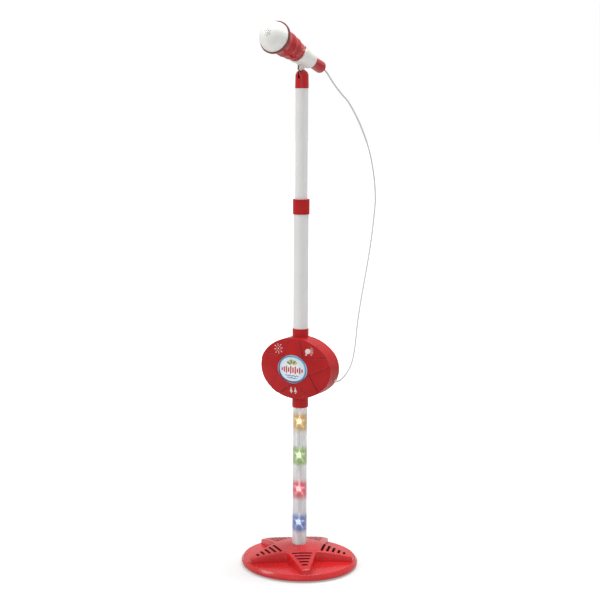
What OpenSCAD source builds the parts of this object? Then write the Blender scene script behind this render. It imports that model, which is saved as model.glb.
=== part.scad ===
// Toy microphone on a telescopic stand with a lit pole, an effects box and a star base.
// Millimetres. Z is up, the mast runs along Z, and the front of the toy faces -Y.
// The origin is on the floor, under the middle of the base.

/* [Base] */
// Widest diameter of the base
base_d = 207; // [190:1:230]
// Height of the recessed panels near the rim
panel_z = 13.4; // [12:0.2:16]
// Height of the star where it meets the pole
hub_z = 38.8; // [34:0.2:44]
// Height of the star at its five tips
tip_z = 21.4; // [18:0.1:24]
// Distance from the middle to a star tip
tip_r = 98; // [92:0.5:100]
// Width of a star tip
tip_w = 13; // [10:0.5:18]
// Distance from the middle to a valley of the star
valley_r = 46; // [40:0.5:52]
// Wall of the base moulding
base_wall = 2.2; // [1.6:0.1:3]
// Thickness of the bottom plate
plate_t = 2; // [1.6:0.1:3]
// Height of the rubber feet
foot_h = 3; // [2:0.1:4]
// Slots across each arm
slot_count = 5; // [3:1:6]
// Distance between slots
slot_pitch = 9.4; // [8:0.1:9.8]
// Width of a slot
slot_w = 4.4; // [3:0.1:5]

/* [Pole] */
// Outer diameter of the light tube and the middle tube
tube_d = 26; // [24:0.1:28]
// Wall of the light tube and the middle tube
tube_wall = 1.3; // [1:0.1:1.6]
// Outer diameter of the sliding tube
slim_d = 21.8; // [20:0.1:22.4]
// Wall of the sliding tube
slim_wall = 1.2; // [1:0.1:1.8]
// Height of the underside of the lock ring
lock_z = 630; // [560:1:680]
// Height of the lock ring
lock_h = 26; // [20:1:34]
// Outer diameter of the lock ring
lock_d = 29; // [28.4:0.1:32]
// Height of the underside of the top cap at full length
cap_z = 845.5; // [800:0.5:860]

/* [Lights] */
// Height of the lowest light
light_z = 78; // [66:1:90]
// Distance between lights
light_pitch = 61.5; // [50:0.5:64]
// Point radius of a star lens
lens_r = 7.6; // [6:0.1:8.4]

/* [Box] */
// Width of the oval box
box_w = 139; // [132:1:150]
// Height of the oval box
box_h = 108; // [104:1:116]
// Radius of the oval's two ends
box_end_r = 44; // [40:0.5:47]
// Height of the middle of the box above the floor
box_z = 361; // [340:1:380]
// How far the front bulges ahead of the mast axis
box_front = 29; // [27:0.5:33]
// How far the back lies behind the mast axis
box_back = 19.5; // [19:0.5:24]
// Radius of the bulging front
face_r = 246; // [220:1:300]
// Radius of the rounded back edge
box_fillet = 7; // [4:0.5:8]
// Wall of the box
box_wall = 2.2; // [1.8:0.1:2.6]
// How far the star on the front stands proud
star_step = 1.2; // [0.8:0.1:1.6]
// Outer diameter of the two tube collars
collar_d = 28.4; // [28:0.1:32]
// Length of a collar, from the middle of the box to its end
collar_low = 72; // [68:0.5:80]
// Length of the upper collar, from the middle of the box to its end
collar_top = 68.5; // [66:0.5:80]
// Width of the badge
badge_w = 58; // [50:1:60]
// Height of the badge
badge_h = 49.5; // [44:0.5:50]
// How far an effect key travels
key_travel = 1.2; // [0.8:0.1:1.4]

/* [Microphone] */
// How far the microphone leans up from level
mic_tilt = 17; // [0:1:40]
// Height at which the microphone's axis crosses the mast axis
mic_z = 901; // [896:0.5:910]
// Radius of the ring round the grille
ring_r = 28; // [26:0.5:30]
// Radius of the grille dome at its foot
grille_r = 25.6; // [24:0.1:26]
// Height of the grille dome
grille_h = 25; // [20:0.5:25.6]
// Wall of the microphone's mouldings
mic_wall = 1.6; // [1.2:0.1:2]

/* [Cord] */
// Diameter of the cord
cord_d = 3; // [2.4:0.1:3.2]

/* [Hidden] */
$fn = 96;
past = 1;                // how far a cut runs past the face it opens
fit_gap = 0.1;           // between pieces that are glued or pushed together
run_gap = 0.3;           // between pieces that slide or turn on each other
screw_gap = 0.05;        // between a screw and its hole
red = "#b9252b";
base_red = "#e0474a";
dark_red = "#7e1519";
pale = "#dcdcda";
white = "#f2f2ee";
steel = "#b5b8bb";

end_step = 0.03;         // how far the oval's ends lie inside its long sides

// ---- flat shapes ----

// A five-armed star with blunt tips and straight sides, its edge moved inwards by inset.
function arm_slope(reach, width, valley) =
    (width / 2 - valley * sin(36)) / (reach - valley * cos(36));
function arm_start(reach, width, valley, inset) =
    let (slope = arm_slope(reach, width, valley))
    valley * sin(36) - slope * valley * cos(36) - inset * sqrt(1 + slope * slope);
function turned(x, y, angle) = [x * cos(angle) - y * sin(angle), x * sin(angle) + y * cos(angle)];
function star_points(reach, width, valley, inset = 0) =
    let (slope = arm_slope(reach, width, valley),
         start = arm_start(reach, width, valley, inset),
         notch = start / (tan(36) - slope),
         half_tip = start + slope * (reach - inset))
    [for (arm = [0:4]) let (angle = 90 + 72 * arm) each [
        turned(reach - inset, -half_tip, angle),
        turned(reach - inset, half_tip, angle),
        turned(notch, notch * tan(36), angle)
    ]];

// An oval of four tangent arcs: half width a, half height b, ends of radius r.
function oval_long_r(a, b, r) = ((a - r) * (a - r) + b * b - r * r) / (2 * (b - r));

module oval(a, b, r) {
    long_r = oval_long_r(a, b, r);
    half_angle = atan((a - r) / (long_r - b));
    for (side = [-1, 1]) translate([side * (a - r), 0]) circle(r);
    intersection() {
        translate([0, b - long_r]) circle(long_r);
        translate([0, long_r - b]) circle(long_r);
        square([2 * long_r * sin(half_angle), 4 * b], center = true);
    }
}
// The solid on such an oval, turned from four arcs, with a rounded edge at low_z. Its two ends are
// a hair smaller than the long sides, so that no two surfaces only graze each other.
module oval_solid(a, b, r, low_z, high_z, fillet) {
    long_r = oval_long_r(a, b, r);
    half_angle = atan((a - r) / (long_r - b));
    for (side = [-1, 1]) {
        translate([side * (a - r), 0, 0]) rotate_extrude()
            edge_section(r - end_step, low_z + end_step, high_z - end_step, fillet);
        translate([0, -side * (long_r - b), 0]) rotate([0, 0, side * 90 - half_angle])
            rotate_extrude(angle = 2 * half_angle) edge_section(long_r, low_z, high_z, fillet);
    }
}
module edge_section(r, low_z, high_z, fillet) {
    mid_z = low_z + fillet;
    translate([0, mid_z]) square([r, high_z - mid_z]);
    translate([0, low_z]) square([r - fillet, fillet + past]);
    translate([r - fillet, mid_z]) intersection() {
        circle(fillet);
        translate([-fillet / 2, low_z - mid_z]) square(2 * fillet);
    }
}

// A screw along Z: its head hangs below z = 0 and its shank points up.
module screw(shank_r, head_r, head_h, length) {
    color(steel) {
        translate([0, 0, -head_h]) difference() {
            cylinder(r = head_r, h = head_h);
            for (turn = [0, 90]) rotate([0, 0, turn])
                translate([-head_r * 0.6, -head_r * 0.12, -past])
                    cube([head_r * 1.2, head_r * 0.24, past + head_h * 0.45]);
        }
        cylinder(r = shank_r, h = length);
    }
}

// ---- base ----

base_r = base_d / 2;
rim_r = 4.6;                     // rounding of the base's edge
rim_z = panel_z - rim_r;
tube_r = tube_d / 2;
hub_r = tube_r + fit_gap + 3;
hub_floor_z = 8;
tube_seat_z = hub_floor_z + 4;
plate_z = foot_h;
plate_top_z = plate_z + plate_t;
panel_rise = 2.2;                // how far the panels climb towards the middle
star_sag = 1.75;                 // how far the star's top bulges above a straight cone
slot_start_r = 43.4;
slot_margin = 7;                 // plastic left beside a slot
boss_r = 3.6;
base_boss_r = base_r - 13.5;     // distance of the base screws from the middle
base_boss_z = plate_top_z + 2.6;
plate_r = base_r - 6.8;
foot_r = 6;
foot_ring_r = 84;
base_screw_r = 1.5;
base_screw_head_r = 3.2;
base_screw_head_h = 1.9;
base_screw_len = 8.4;

// The star's top is the upper arc of a large circle through the hub and a tip.
star_top = [[hub_r - 3, hub_z], [tip_r, tip_z]];
chord = norm(star_top[1] - star_top[0]);
star_arc_r = chord * chord / (8 * star_sag) + star_sag / 2;
chord_down = [star_top[1][1] - star_top[0][1], star_top[0][0] - star_top[1][0]] / chord;
star_arc_mid = (star_top[0] + star_top[1]) / 2 + chord_down * (star_arc_r - star_sag);
function arm_half(r) = arm_start(tip_r, tip_w, valley_r, 0) + arm_slope(tip_r, tip_w, valley_r) * r;

module star_crown(drop) {
    rotate_extrude() intersection() {
        translate(star_arc_mid) circle(star_arc_r - drop, $fn = 360);
        translate([0, plate_z + drop]) square([base_r - drop, hub_z - plate_z - 2 * drop]);
    }
}
module star_prism(inset, low_z) {
    translate([0, 0, low_z]) linear_extrude(hub_z - low_z + past)
        polygon(star_points(tip_r, tip_w, valley_r, inset));
}
module base_disc(drop) {
    low_z = drop > 0 ? -past : plate_z;
    rotate_extrude() {
        translate([base_r - rim_r, rim_z]) circle(rim_r - drop);
        polygon([
            [0, low_z], [base_r - 2.2 - drop, low_z], [base_r - 0.2 - drop, rim_z - 1],
            [base_r - rim_r, panel_z - drop], [valley_r, panel_z + panel_rise - drop],
            [0, panel_z + panel_rise - drop]
        ]);
    }
}
module base_shell() {
    color(base_red) difference() {
        union() {
            base_disc(0);
            intersection() { star_crown(0); star_prism(0, plate_z); }
        }
        difference() {
            union() {
                base_disc(base_wall);
                intersection() { star_crown(base_wall); star_prism(base_wall, plate_z); }
            }
            translate([0, 0, hub_floor_z]) cylinder(r = hub_r, h = hub_z);
            for (arm = [0:4]) rotate([0, 0, 90 + 72 * arm])
                translate([base_boss_r, 0, base_boss_z]) cylinder(r = boss_r, h = hub_z);
        }
        translate([0, 0, tube_seat_z]) cylinder(r = tube_r + fit_gap, h = hub_z);
        translate([0, 0, plate_z]) cylinder(r = 2 + screw_gap, h = hub_z);
        for (arm = [0:4]) rotate([0, 0, 90 + 72 * arm]) {
            translate([base_boss_r, 0, base_boss_z - past]) cylinder(r = base_screw_r + screw_gap, h = 9);
            for (i = [0:slot_count - 1]) arm_slot(slot_start_r + slot_pitch * i);
        }
    }
}
module arm_slot(r) {
    half = arm_half(r) - slot_margin;
    translate([r - slot_w / 2, -half, panel_z + panel_rise - base_wall])
        cube([slot_w, 2 * half, hub_z]);
}
module base_plate() {
    color(dark_red) difference() {
        union() {
            translate([0, 0, plate_z]) cylinder(r = plate_r, h = plate_t);
            for (arm = [0:4]) rotate([0, 0, 90 + 72 * arm]) translate([base_boss_r, 0, plate_z])
                cylinder(r = boss_r + 1.2, h = base_boss_z - plate_z - fit_gap);
        }
        for (arm = [0:4]) rotate([0, 0, 90 + 72 * arm]) translate([base_boss_r, 0, plate_z - past]) {
            cylinder(r = base_screw_r + 0.3, h = hub_z);
            cylinder(r = base_screw_head_r + 0.4, h = past + 2.4);
        }
    }
}
module rubber_feet() {
    color("#3a3a3c") {
        cylinder(r = foot_r, h = foot_h);
        for (arm = [0:4]) rotate([0, 0, 54 + 72 * arm]) translate([foot_ring_r, 0, 0])
            cylinder(r = foot_r, h = foot_h);
    }
}
module base_screws() {
    for (arm = [0:4]) rotate([0, 0, 90 + 72 * arm]) translate([base_boss_r, 0, plate_z + 2.4])
        screw(base_screw_r, base_screw_head_r, base_screw_head_h, base_screw_len);
}
module mast_screw() {
    translate([0, 0, hub_floor_z]) screw(2, 4, 2.6, 12);
}

// ---- light tube ----

box_tube_stop = 56;              // from the middle of the box to the end of each tube
light_top_z = box_z - box_tube_stop - 0.2;
bore_r = tube_r - tube_wall;
plug_r = bore_r - fit_gap;
strip_w = 8;
strip_t = 1.2;
strip_low_z = tube_seat_z + 8;
strip_top_z = light_top_z - 12;
plug_h = 12;
chip_t = 1.6;
lens_t = 2.4;
lens_front_y = -strip_t / 2 - chip_t - fit_gap;

module tube(outer_r, inner_r, low_z, high_z) {
    translate([0, 0, low_z]) difference() {
        cylinder(r = outer_r, h = high_z - low_z);
        translate([0, 0, -past]) cylinder(r = inner_r, h = high_z - low_z + 2 * past);
    }
}
module light_tube() {
    color(pale, 0.5) tube(tube_r, bore_r, tube_seat_z, light_top_z);
}
module strip_slot(low_z) {
    translate([-strip_w / 2 - fit_gap, -strip_t / 2 - fit_gap, low_z])
        cube([strip_w + 2 * fit_gap, strip_t + 2 * fit_gap, plug_h + past]);
}
module strip_foot() {
    color(white) difference() {
        translate([0, 0, tube_seat_z]) cylinder(r = plug_r, h = plug_h);
        strip_slot(strip_low_z);
        translate([0, 0, tube_seat_z - past]) cylinder(r = 2 + screw_gap, h = strip_low_z - tube_seat_z + past);
    }
}
module strip_head() {
    color(white) difference() {
        translate([0, 0, strip_top_z - 4]) cylinder(r = plug_r, h = plug_h);
        translate([0, 0, -plug_h]) strip_slot(strip_top_z);
        for (x = wire_x) translate([x, -wire_y, strip_top_z - 4 - past]) cylinder(r = 1, h = plug_h + 2 * past);
    }
}
module led_strip() {
    color("#e8e6dc") translate([-strip_w / 2, -strip_t / 2, strip_low_z])
        cube([strip_w, strip_t, strip_top_z - strip_low_z]);
}
module led_chips() {
    color("#fff6c8") for (i = [0:3])
        translate([-1.75, -strip_t / 2 - chip_t, light_z + light_pitch * i - 1.4]) cube([3.5, chip_t, 2.8]);
}
module star_lens(i, tint) {
    color(tint) translate([0, lens_front_y, light_z + light_pitch * i]) rotate([90, 0, 0])
        linear_extrude(lens_t) polygon(star_points(lens_r, 1.6, lens_r * 0.5));
}
module blue_star() { star_lens(0, "#4f74e8"); }
module red_star() { star_lens(1, "#ee4a52"); }
module green_star() { star_lens(2, "#62cf5a"); }
module yellow_star() { star_lens(3, "#f2b84a"); }

wire_r = 0.6;
wire_x = [-2, 2];
wire_y = 2.6;                    // how far the wires run ahead of the mast axis
wire_low_z = strip_top_z - 8;
wire_turn_z = box_z - box_h / 2 + 20;
module led_wires() {
    color("#9a2f2f") for (x = wire_x) {
        translate([x, -wire_y, wire_low_z]) cylinder(r = wire_r, h = wire_turn_z - wire_low_z);
        translate([x, -wire_y, wire_turn_z]) sphere(wire_r);
        translate([x, -wire_y, wire_turn_z]) rotate([90, 0, 0]) cylinder(r = wire_r, h = board_z - wire_y - fit_gap);
        translate([x, -strip_t / 2, wire_low_z]) rotate([90, 0, 0]) cylinder(r = wire_r, h = wire_y - strip_t / 2);
    }
}

// ---- box: x to the right, y up, z forwards, from the middle of the box on the mast axis ----

box_a = box_w / 2;
box_b = box_h / 2;
collar_r = collar_d / 2;
collar_bore_r = tube_r + fit_gap;
collar_end = box_b - 4;          // where a collar ends inside the box
arm_scale = box_w / box_h;         // the front's star is stretched sideways by this
face_tip_r = 56;
face_tip_w = 11;
face_valley_r = 24.5;
badge_end_r = 21;
badge_seat_z = box_front - 1.8;
badge_proud = 1.2;
board_z = 7.4;
board_t = 1.6;
boss_points = [[-57, 15], [57, 15], [-33, -36], [33, -36]];
standoff_points = [[-44, 11], [44, 11], [-24, -26], [24, -26]];
case_screw_r = 1.4;
case_head_r = 2.9;
case_head_z = -box_back + 4.2;
board_screw_r = 1.1;
board_screw_len = 8;
case_head_h = 2;
case_screw_len = 24;
key_margin = 1.2;                // between the star and a key's opening
key_rim = 4.6;                   // between the box's edge and a key's opening
key_gap = 0.4;
key_lip = 1.5;
key_lip_t = 1.2;
key_angles = [270, 54, 126];     // the low, right and left keys lie this way from the middle
key_points = [[0, -37.5], [29, 30.5], [-29, 30.5]];
switch_h = 3.5;
stem_z = board_z + board_t + switch_h + 0.8 + key_travel + run_gap;
bay_x = [-52, 6];
bay_y = 23;
bay_wall = 1.5;
bay_floor_z = -2.7;
cell_r = 7.25;
cell_l = 50.5;
cell_z = bay_floor_z - fit_gap - cell_r;
door_t = 1.8;
lug_x = bay_x[1] + 3.6;          // where the door's screw lug sits
lug_r = 3.2;
lug_w = 4;
speaker_x = 32;
speaker_r = 20;
speaker_rim_z = -box_back + box_wall + 1.6;
hole_r = 1.5;
hole_pitch = 5;
knob_y = 37;
knob_x = 12;
knob_travel = 5;
knob_mid = knob_x + knob_travel / 2;
inner_step = 2.4;                // ledge inside the rounded back edge
gland_y = -20;
gland_z = -8;
gland_r = 3.2;
gland_neck_r = 2.4;
gland_lip = 0.6;                 // how far its flange stands off the wall
gland_x = box_a - box_end_r + sqrt(box_end_r * box_end_r - gland_y * gland_y);

module box_frame() {
    translate([0, 0, box_z]) rotate([90, 0, 0]) children();
}
module box_body(inset, low_z) {
    oval_solid(box_a - inset, box_b - inset, box_end_r - inset, low_z, box_front + past, box_fillet - inset);
}
module face_dome(drop) {
    translate([0, 0, box_front - face_r]) sphere(face_r - drop, $fn = 200);
}
function face_star_points(inset) =
    [for (p = star_points(face_tip_r, face_tip_w, face_valley_r, inset)) [p[0] * arm_scale, p[1]]];
function face_point(r, angle) = [r * cos(angle) * arm_scale, r * sin(angle)];
module half_space(side) {
    translate([-box_w, -box_w, side > 0 ? 0 : -box_w]) cube([2 * box_w, 2 * box_w, box_w]);
}
module collars() {
    rotate([90, 0, 0]) translate([0, 0, collar_end]) cylinder(r = collar_r, h = collar_low - collar_end);
    rotate([-90, 0, 0]) translate([0, 0, collar_end]) cylinder(r = collar_r, h = collar_top - collar_end);
}
module collar_bores() {
    for (turn = [90, -90]) rotate([turn, 0, 0]) {
        translate([0, 0, box_tube_stop]) cylinder(r = collar_bore_r, h = collar_low);
        translate([0, 0, collar_end - past]) cylinder(r = collar_bore_r - 3.5, h = collar_low);
    }
}
module box_inside() {
    floor_z = -box_back + box_wall;
    intersection() {
        union() {
            translate([0, 0, floor_z]) linear_extrude(inner_step + past) oval_plate(box_wall + inner_step);
            translate([0, 0, floor_z + inner_step]) linear_extrude(2 * box_front) oval_plate(box_wall);
        }
        face_dome(star_step + box_wall);
    }
}
// The panel between two arms of the star, grown or shrunk by its edge.
module key_outline(angle, edge) {
    intersection() {
        difference() {
            oval_plate(key_rim + edge);
            polygon(face_star_points(-key_margin - edge));
        }
        polygon([[0, 0], face_point(box_h, angle - 36), face_point(box_h, angle + 36)]);
    }
}
module oval_plate(inset) {
    oval(box_a - inset, box_b - inset, box_end_r - inset);
}
module front_shell() {
    color(red) box_frame() difference() {
        union() {
            difference() {
                union() {
                    intersection() {
                        box_body(0, -box_back);
                        union() {
                            face_dome(star_step);
                            intersection() {
                                face_dome(0);
                                linear_extrude(box_front + past) polygon(face_star_points(0));
                            }
                        }
                    }
                    collars();
                }
                box_inside();
            }
            intersection() {
                box_body(box_wall / 2, -box_back);
                face_dome(star_step + box_wall / 2);
                union() {
                    for (p = boss_points) translate(p) cylinder(r = boss_r, h = box_front);
                    for (p = standoff_points) translate([p[0], p[1], board_z + board_t])
                        cylinder(r = 3, h = box_front);
                    collars();
                }
            }
        }
        half_space(-1);
        collar_bores();
        for (angle = key_angles) linear_extrude(2 * box_front) key_outline(angle, 0);
        for (p = boss_points) translate([p[0], p[1], -past]) cylinder(r = case_screw_r + screw_gap, h = past + 12);
        for (p = standoff_points) translate([p[0], p[1], 0]) cylinder(r = board_screw_r + screw_gap, h = board_z + 9);
        translate([0, 0, badge_seat_z]) linear_extrude(past + 6) badge_outline(-fit_gap);
    }
}
module badge_outline(inset) {
    oval(badge_w / 2 - inset, badge_h / 2 - inset, badge_end_r - inset);
}
module badge() {
    color("#eef4fa") box_frame() intersection() {
        translate([0, 0, badge_seat_z]) linear_extrude(8) badge_outline(0);
        face_dome(-badge_proud);
    }
}
module effect_key(angle, point) {
    color(red) box_frame() {
        difference() {
            union() {
                intersection() {
                    face_dome(star_step);
                    linear_extrude(2 * box_front) key_outline(angle, key_gap);
                }
                intersection() {
                    face_dome(star_step + box_wall + run_gap);
                    linear_extrude(2 * box_front) key_outline(angle, -key_lip);
                }
            }
            face_dome(star_step + box_wall + run_gap + key_lip_t);
        }
        intersection() {
            translate([point[0], point[1], stem_z]) cylinder(r = 3, h = box_front);
            face_dome(star_step + box_wall);
        }
    }
}
module low_key() { effect_key(key_angles[0], key_points[0]); }
module right_key() { effect_key(key_angles[1], key_points[1]); }
module left_key() { effect_key(key_angles[2], key_points[2]); }

module rear_shell() {
    color(red) box_frame() difference() {
        union() {
            difference() {
                union() {
                    intersection() { box_body(0, -box_back); half_space(-1); }
                    collars();
                }
                box_inside();
            }
            intersection() {
                box_body(box_wall / 2, -box_back + box_wall / 2);
                union() {
                    for (p = boss_points) translate([p[0], p[1], -box_back]) cylinder(r = boss_r, h = box_back);
                    collars();
                    bay_block(bay_wall, bay_floor_z + bay_wall);
                    translate([speaker_x, 0, -box_back]) cylinder(r = speaker_r + 2, h = 6);
                    translate([knob_mid - 8.5, knob_y - 5.5, -box_back]) cube([17, 11, 5.5]);
                }
            }
        }
        half_space(1);
        collar_bores();
        bay_block(0, bay_floor_z);
        translate([speaker_x, 0, -box_back + box_wall]) cylinder(r = speaker_r + run_gap, h = box_back);
        translate([speaker_x, 0, -box_back - past]) speaker_holes();
        translate([knob_mid - 7, knob_y - 4, -box_back + box_wall]) cube([14, 8, box_back]);
        translate([knob_x - 2.5 - run_gap, knob_y - 2 - run_gap, -box_back - past])
            cube([5 + knob_travel + 2 * run_gap, 4 + 2 * run_gap, 2 * past + box_wall]);
        for (p = boss_points) translate([p[0], p[1], -box_back - past]) {
            cylinder(r = case_screw_r + 0.3, h = box_back + 2 * past);
            cylinder(r = case_head_r + 0.4, h = past + case_head_z + box_back);
        }
        gland_seat(fit_gap);
        translate([lug_x, 0, -box_back - past]) {
            cylinder(r = lug_r, h = past + door_t);
            translate([-5, -lug_w / 2 - fit_gap, 0]) cube([5, lug_w + 2 * fit_gap, past + door_t]);
            cylinder(r = 1.2 + screw_gap, h = 9);
        }
    }
}
module bay_block(wall, high_z) {
    translate([bay_x[0] - wall, -bay_y - wall, -box_back - past])
        cube([bay_x[1] - bay_x[0] + 2 * wall, 2 * (bay_y + wall), high_z + box_back + past]);
}
module speaker_holes() {
    for (row = [-3:3], col = [-3:3]) {
        x = hole_pitch * (col + (abs(row) % 2) / 2);
        y = hole_pitch * row * sin(60);
        if (norm([x, y]) < speaker_r - 3) translate([x, y, 0]) cylinder(r = hole_r, h = 2 * past + box_wall);
    }
}
module case_screws() {
    box_frame() for (p = boss_points) translate([p[0], p[1], case_head_z])
        screw(case_screw_r, case_head_r, case_head_h, case_screw_len);
}
module circuit_board() {
    color("#2f6b3c") box_frame() translate([0, 0, board_z]) linear_extrude(board_t) difference() {
        oval_plate(7);
        for (p = boss_points) translate(p) circle(boss_r + 0.6);
        for (p = standoff_points) translate(p) circle(board_screw_r + screw_gap);
    }
}
module board_screws() {
    box_frame() for (p = standoff_points) translate([p[0], p[1], board_z])
        screw(board_screw_r, 2 * board_screw_r, 1.4, board_screw_len);
}
module key_switches() {
    color("#2c2c2e") box_frame() for (p = key_points) translate([p[0], p[1], board_z + board_t]) {
        translate([-3, -3, 0]) cube([6, 6, switch_h]);
        cylinder(r = 1.7, h = switch_h + 0.8);
    }
}
module speaker() {
    color("#4a4a4e") box_frame() translate([speaker_x, 0, -box_back + box_wall + fit_gap]) difference() {
        union() {
            cylinder(r = speaker_r, h = 2.4);
            translate([0, 0, 2.4]) cylinder(r1 = speaker_r - 2, r2 = 11, h = 7);
            translate([0, 0, 9.4]) cylinder(r = 11, h = 6);
        }
        translate([0, 0, -past]) cylinder(r1 = speaker_r - 1.6, r2 = 6, h = 6);
    }
}
module batteries() {
    color("#5b7f52") box_frame() for (row = [-1:1])
        translate([(bay_x[0] + bay_x[1] - cell_l) / 2, row * (2 * cell_r + 0.4), cell_z]) rotate([0, 90, 0]) {
            cylinder(r = cell_r, h = cell_l - 1);
            cylinder(r = 2.7, h = cell_l);
        }
}
module battery_contacts() {
    gap = (bay_x[1] - bay_x[0] - cell_l) / 2 - fit_gap;
    color(steel) box_frame() for (row = [-1:1]) translate([0, row * (2 * cell_r + 0.4), cell_z]) {
        for (x = [bay_x[0] + fit_gap, bay_x[1] - fit_gap - 0.5]) translate([x, -5, -5]) cube([0.5, 10, 10]);
        translate([bay_x[0] + fit_gap + 0.5, 0, 0]) rotate([0, 90, 0]) cylinder(r1 = 4, r2 = 2.4, h = gap - 0.6);
        translate([bay_x[1] - fit_gap - gap + 0.1, 0, 0]) rotate([0, 90, 0]) cylinder(r = 2, h = gap - 0.6);
    }
}
module battery_door() {
    color(red) box_frame() difference() {
        union() {
            translate([bay_x[0] + run_gap, -bay_y + run_gap, -box_back])
                cube([bay_x[1] - bay_x[0] - 2 * run_gap, 2 * (bay_y - run_gap), door_t]);
            translate([lug_x, 0, -box_back]) cylinder(r = lug_r - fit_gap, h = door_t - fit_gap);
            translate([lug_x - 5.6, -lug_w / 2, -box_back]) cube([5, lug_w, door_t - fit_gap]);
        }
        translate([lug_x, 0, -box_back - past]) cylinder(r = 1.2 + 0.2, h = 2 * past + door_t);
        for (x = [-40:4:-28]) translate([x, -9, -box_back - past]) cube([1.6, 18, past + 0.7]);
    }
}
module door_screw() {
    box_frame() translate([lug_x, 0, -box_back]) screw(1.2, 2.4, 1, 8);
}
module switch_body() {
    color("#2c2c2e") box_frame() translate([knob_mid - 6.8, knob_y - 3.8, -box_back + box_wall + 1.4 + run_gap])
        cube([13.6, 7.6, 5]);
}
module switch_knob() {
    color("#2c2c2e") box_frame() {
        translate([knob_x - 2.5, knob_y - 2, -box_back - 1.6]) cube([5, 4, box_wall + 1.6 + 0.2]);
        translate([knob_x - 3.4, knob_y - 3.2, -box_back + box_wall + 0.2]) cube([6.8, 6.4, 1.2]);
    }
}
module gland_seat(gap) {
    translate([0, gland_y, gland_z]) rotate([0, 90, 0]) {
        translate([0, 0, gland_x - 5]) cylinder(r = gland_neck_r + gap, h = 12);
        translate([0, 0, gland_x + gland_lip - gap]) cylinder(r = gland_r + gap, h = 12);
    }
}
module box_strain_relief() {
    color(white) box_frame() translate([0, gland_y, gland_z]) rotate([0, 90, 0]) {
        translate([0, 0, gland_x - 4]) cylinder(r = gland_neck_r, h = 4 + gland_lip);
        translate([0, 0, gland_x + gland_lip])
            cylinder(r1 = gland_r, r2 = cord_d / 2 + 0.4, h = relief_x - gland_x - gland_lip);
    }
}
relief_len = 5.3;                // length of the cord's sleeve outside the box
relief_x = gland_x + relief_len;  // where the cord leaves it

// ---- mast ----

lock_r = lock_d / 2;
slim_r = slim_d / 2;
middle_low_z = box_z + box_tube_stop + 0.2;
middle_top_z = lock_z + 10;
bush_h = 26;
bush_flange_h = 2;
foot_len = 10;
foot_top_z = middle_top_z + bush_flange_h - bush_h - run_gap;
slim_low_z = foot_top_z - foot_len;
cap_r = 11.7;
cap_top_r = 11.3;
cap_dome_z = cap_z + 20.3;
cap_sleeve = 8;
slot_half = 2.3;
pivot_z = cap_z + 23.5;
pin_r = 1.6;

module middle_tube() {
    color(pale) tube(tube_r, bore_r, middle_low_z, middle_top_z);
}
module grip_bush() {
    color("#8d8f92") {
        tube(bore_r - fit_gap, slim_r + fit_gap, middle_top_z + bush_flange_h - bush_h, middle_top_z);
        tube(tube_r - fit_gap, slim_r + fit_gap, middle_top_z, middle_top_z + bush_flange_h);
    }
}
module lock_ring() {
    color(red) difference() {
        translate([0, 0, lock_z]) cylinder(r = lock_r, h = lock_h);
        translate([0, 0, lock_z - past])
            cylinder(r = tube_r + run_gap, h = past + middle_top_z + bush_flange_h + run_gap - lock_z);
        translate([0, 0, lock_z]) cylinder(r = slim_r + run_gap, h = lock_h + past);
    }
}
module upper_tube() {
    color(pale) tube(slim_r, slim_r - slim_wall, slim_low_z, cap_z + cap_sleeve);
}
module tube_foot() {
    color("#8d8f92") {
        tube(bore_r - run_gap, slim_r + fit_gap, slim_low_z, foot_top_z);
        tube(bore_r - run_gap, slim_r - slim_wall, slim_low_z - 2, slim_low_z);
    }
}
module top_cap() {
    color(red) difference() {
        union() {
            translate([0, 0, cap_z]) cylinder(r1 = cap_r, r2 = cap_top_r, h = cap_dome_z - cap_z);
            translate([0, 0, cap_dome_z]) intersection() {
                sphere(cap_top_r);
                cylinder(r = cap_top_r, h = cap_top_r);
            }
            translate([0, 0, cap_z - 10]) cylinder(r = slim_r - slim_wall - fit_gap, h = 12);
        }
        translate([0, 0, cap_z - 10 - past]) cylinder(r = slim_r - slim_wall - 1.6, h = 8 + past);
        tube(slim_r + fit_gap, slim_r - slim_wall - fit_gap, cap_z - past, cap_z + cap_sleeve + fit_gap);
        translate([-slot_half, -cap_r - past, cap_z + 16.5]) cube([2 * slot_half, 2 * (cap_r + past), cap_r + 20]);
        translate([-cap_r - past, 0, pivot_z]) rotate([0, 90, 0])
            cylinder(r = pin_r + screw_gap, h = 2 * (cap_r + past));
    }
}
module pivot_pin() {
    pin_half = sqrt(cap_top_r * cap_top_r - (pivot_z - cap_dome_z + pin_r) * (pivot_z - cap_dome_z + pin_r)) - 0.2;
    color(steel) translate([-pin_half, 0, pivot_z]) rotate([0, 90, 0]) cylinder(r = pin_r, h = 2 * pin_half);
}

// ---- microphone: z along its axis to the head, y up, from where it crosses the mast axis ----

body_low = -26;
cone_top = 37;
cone_r = [13.2, 17.6];           // radius at the foot and at the top of the smooth handle
rib_top = 77;
rib_r = 21.6;
step_r = 20.2;
ring_low = 92;
ring_h = 5;
tail_end = -70;
tail_r = 10.8;
relief_end = -76.3;
clip_wall = 1.9;
clip_low = -26;
clip_top = 22;
clip_slit = 9;
tab_t = 4;
eye_r = 5.2;
function handle_r(s) = cone_r[0] + (cone_r[1] - cone_r[0]) * (s - body_low) / (cone_top - body_low);

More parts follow.
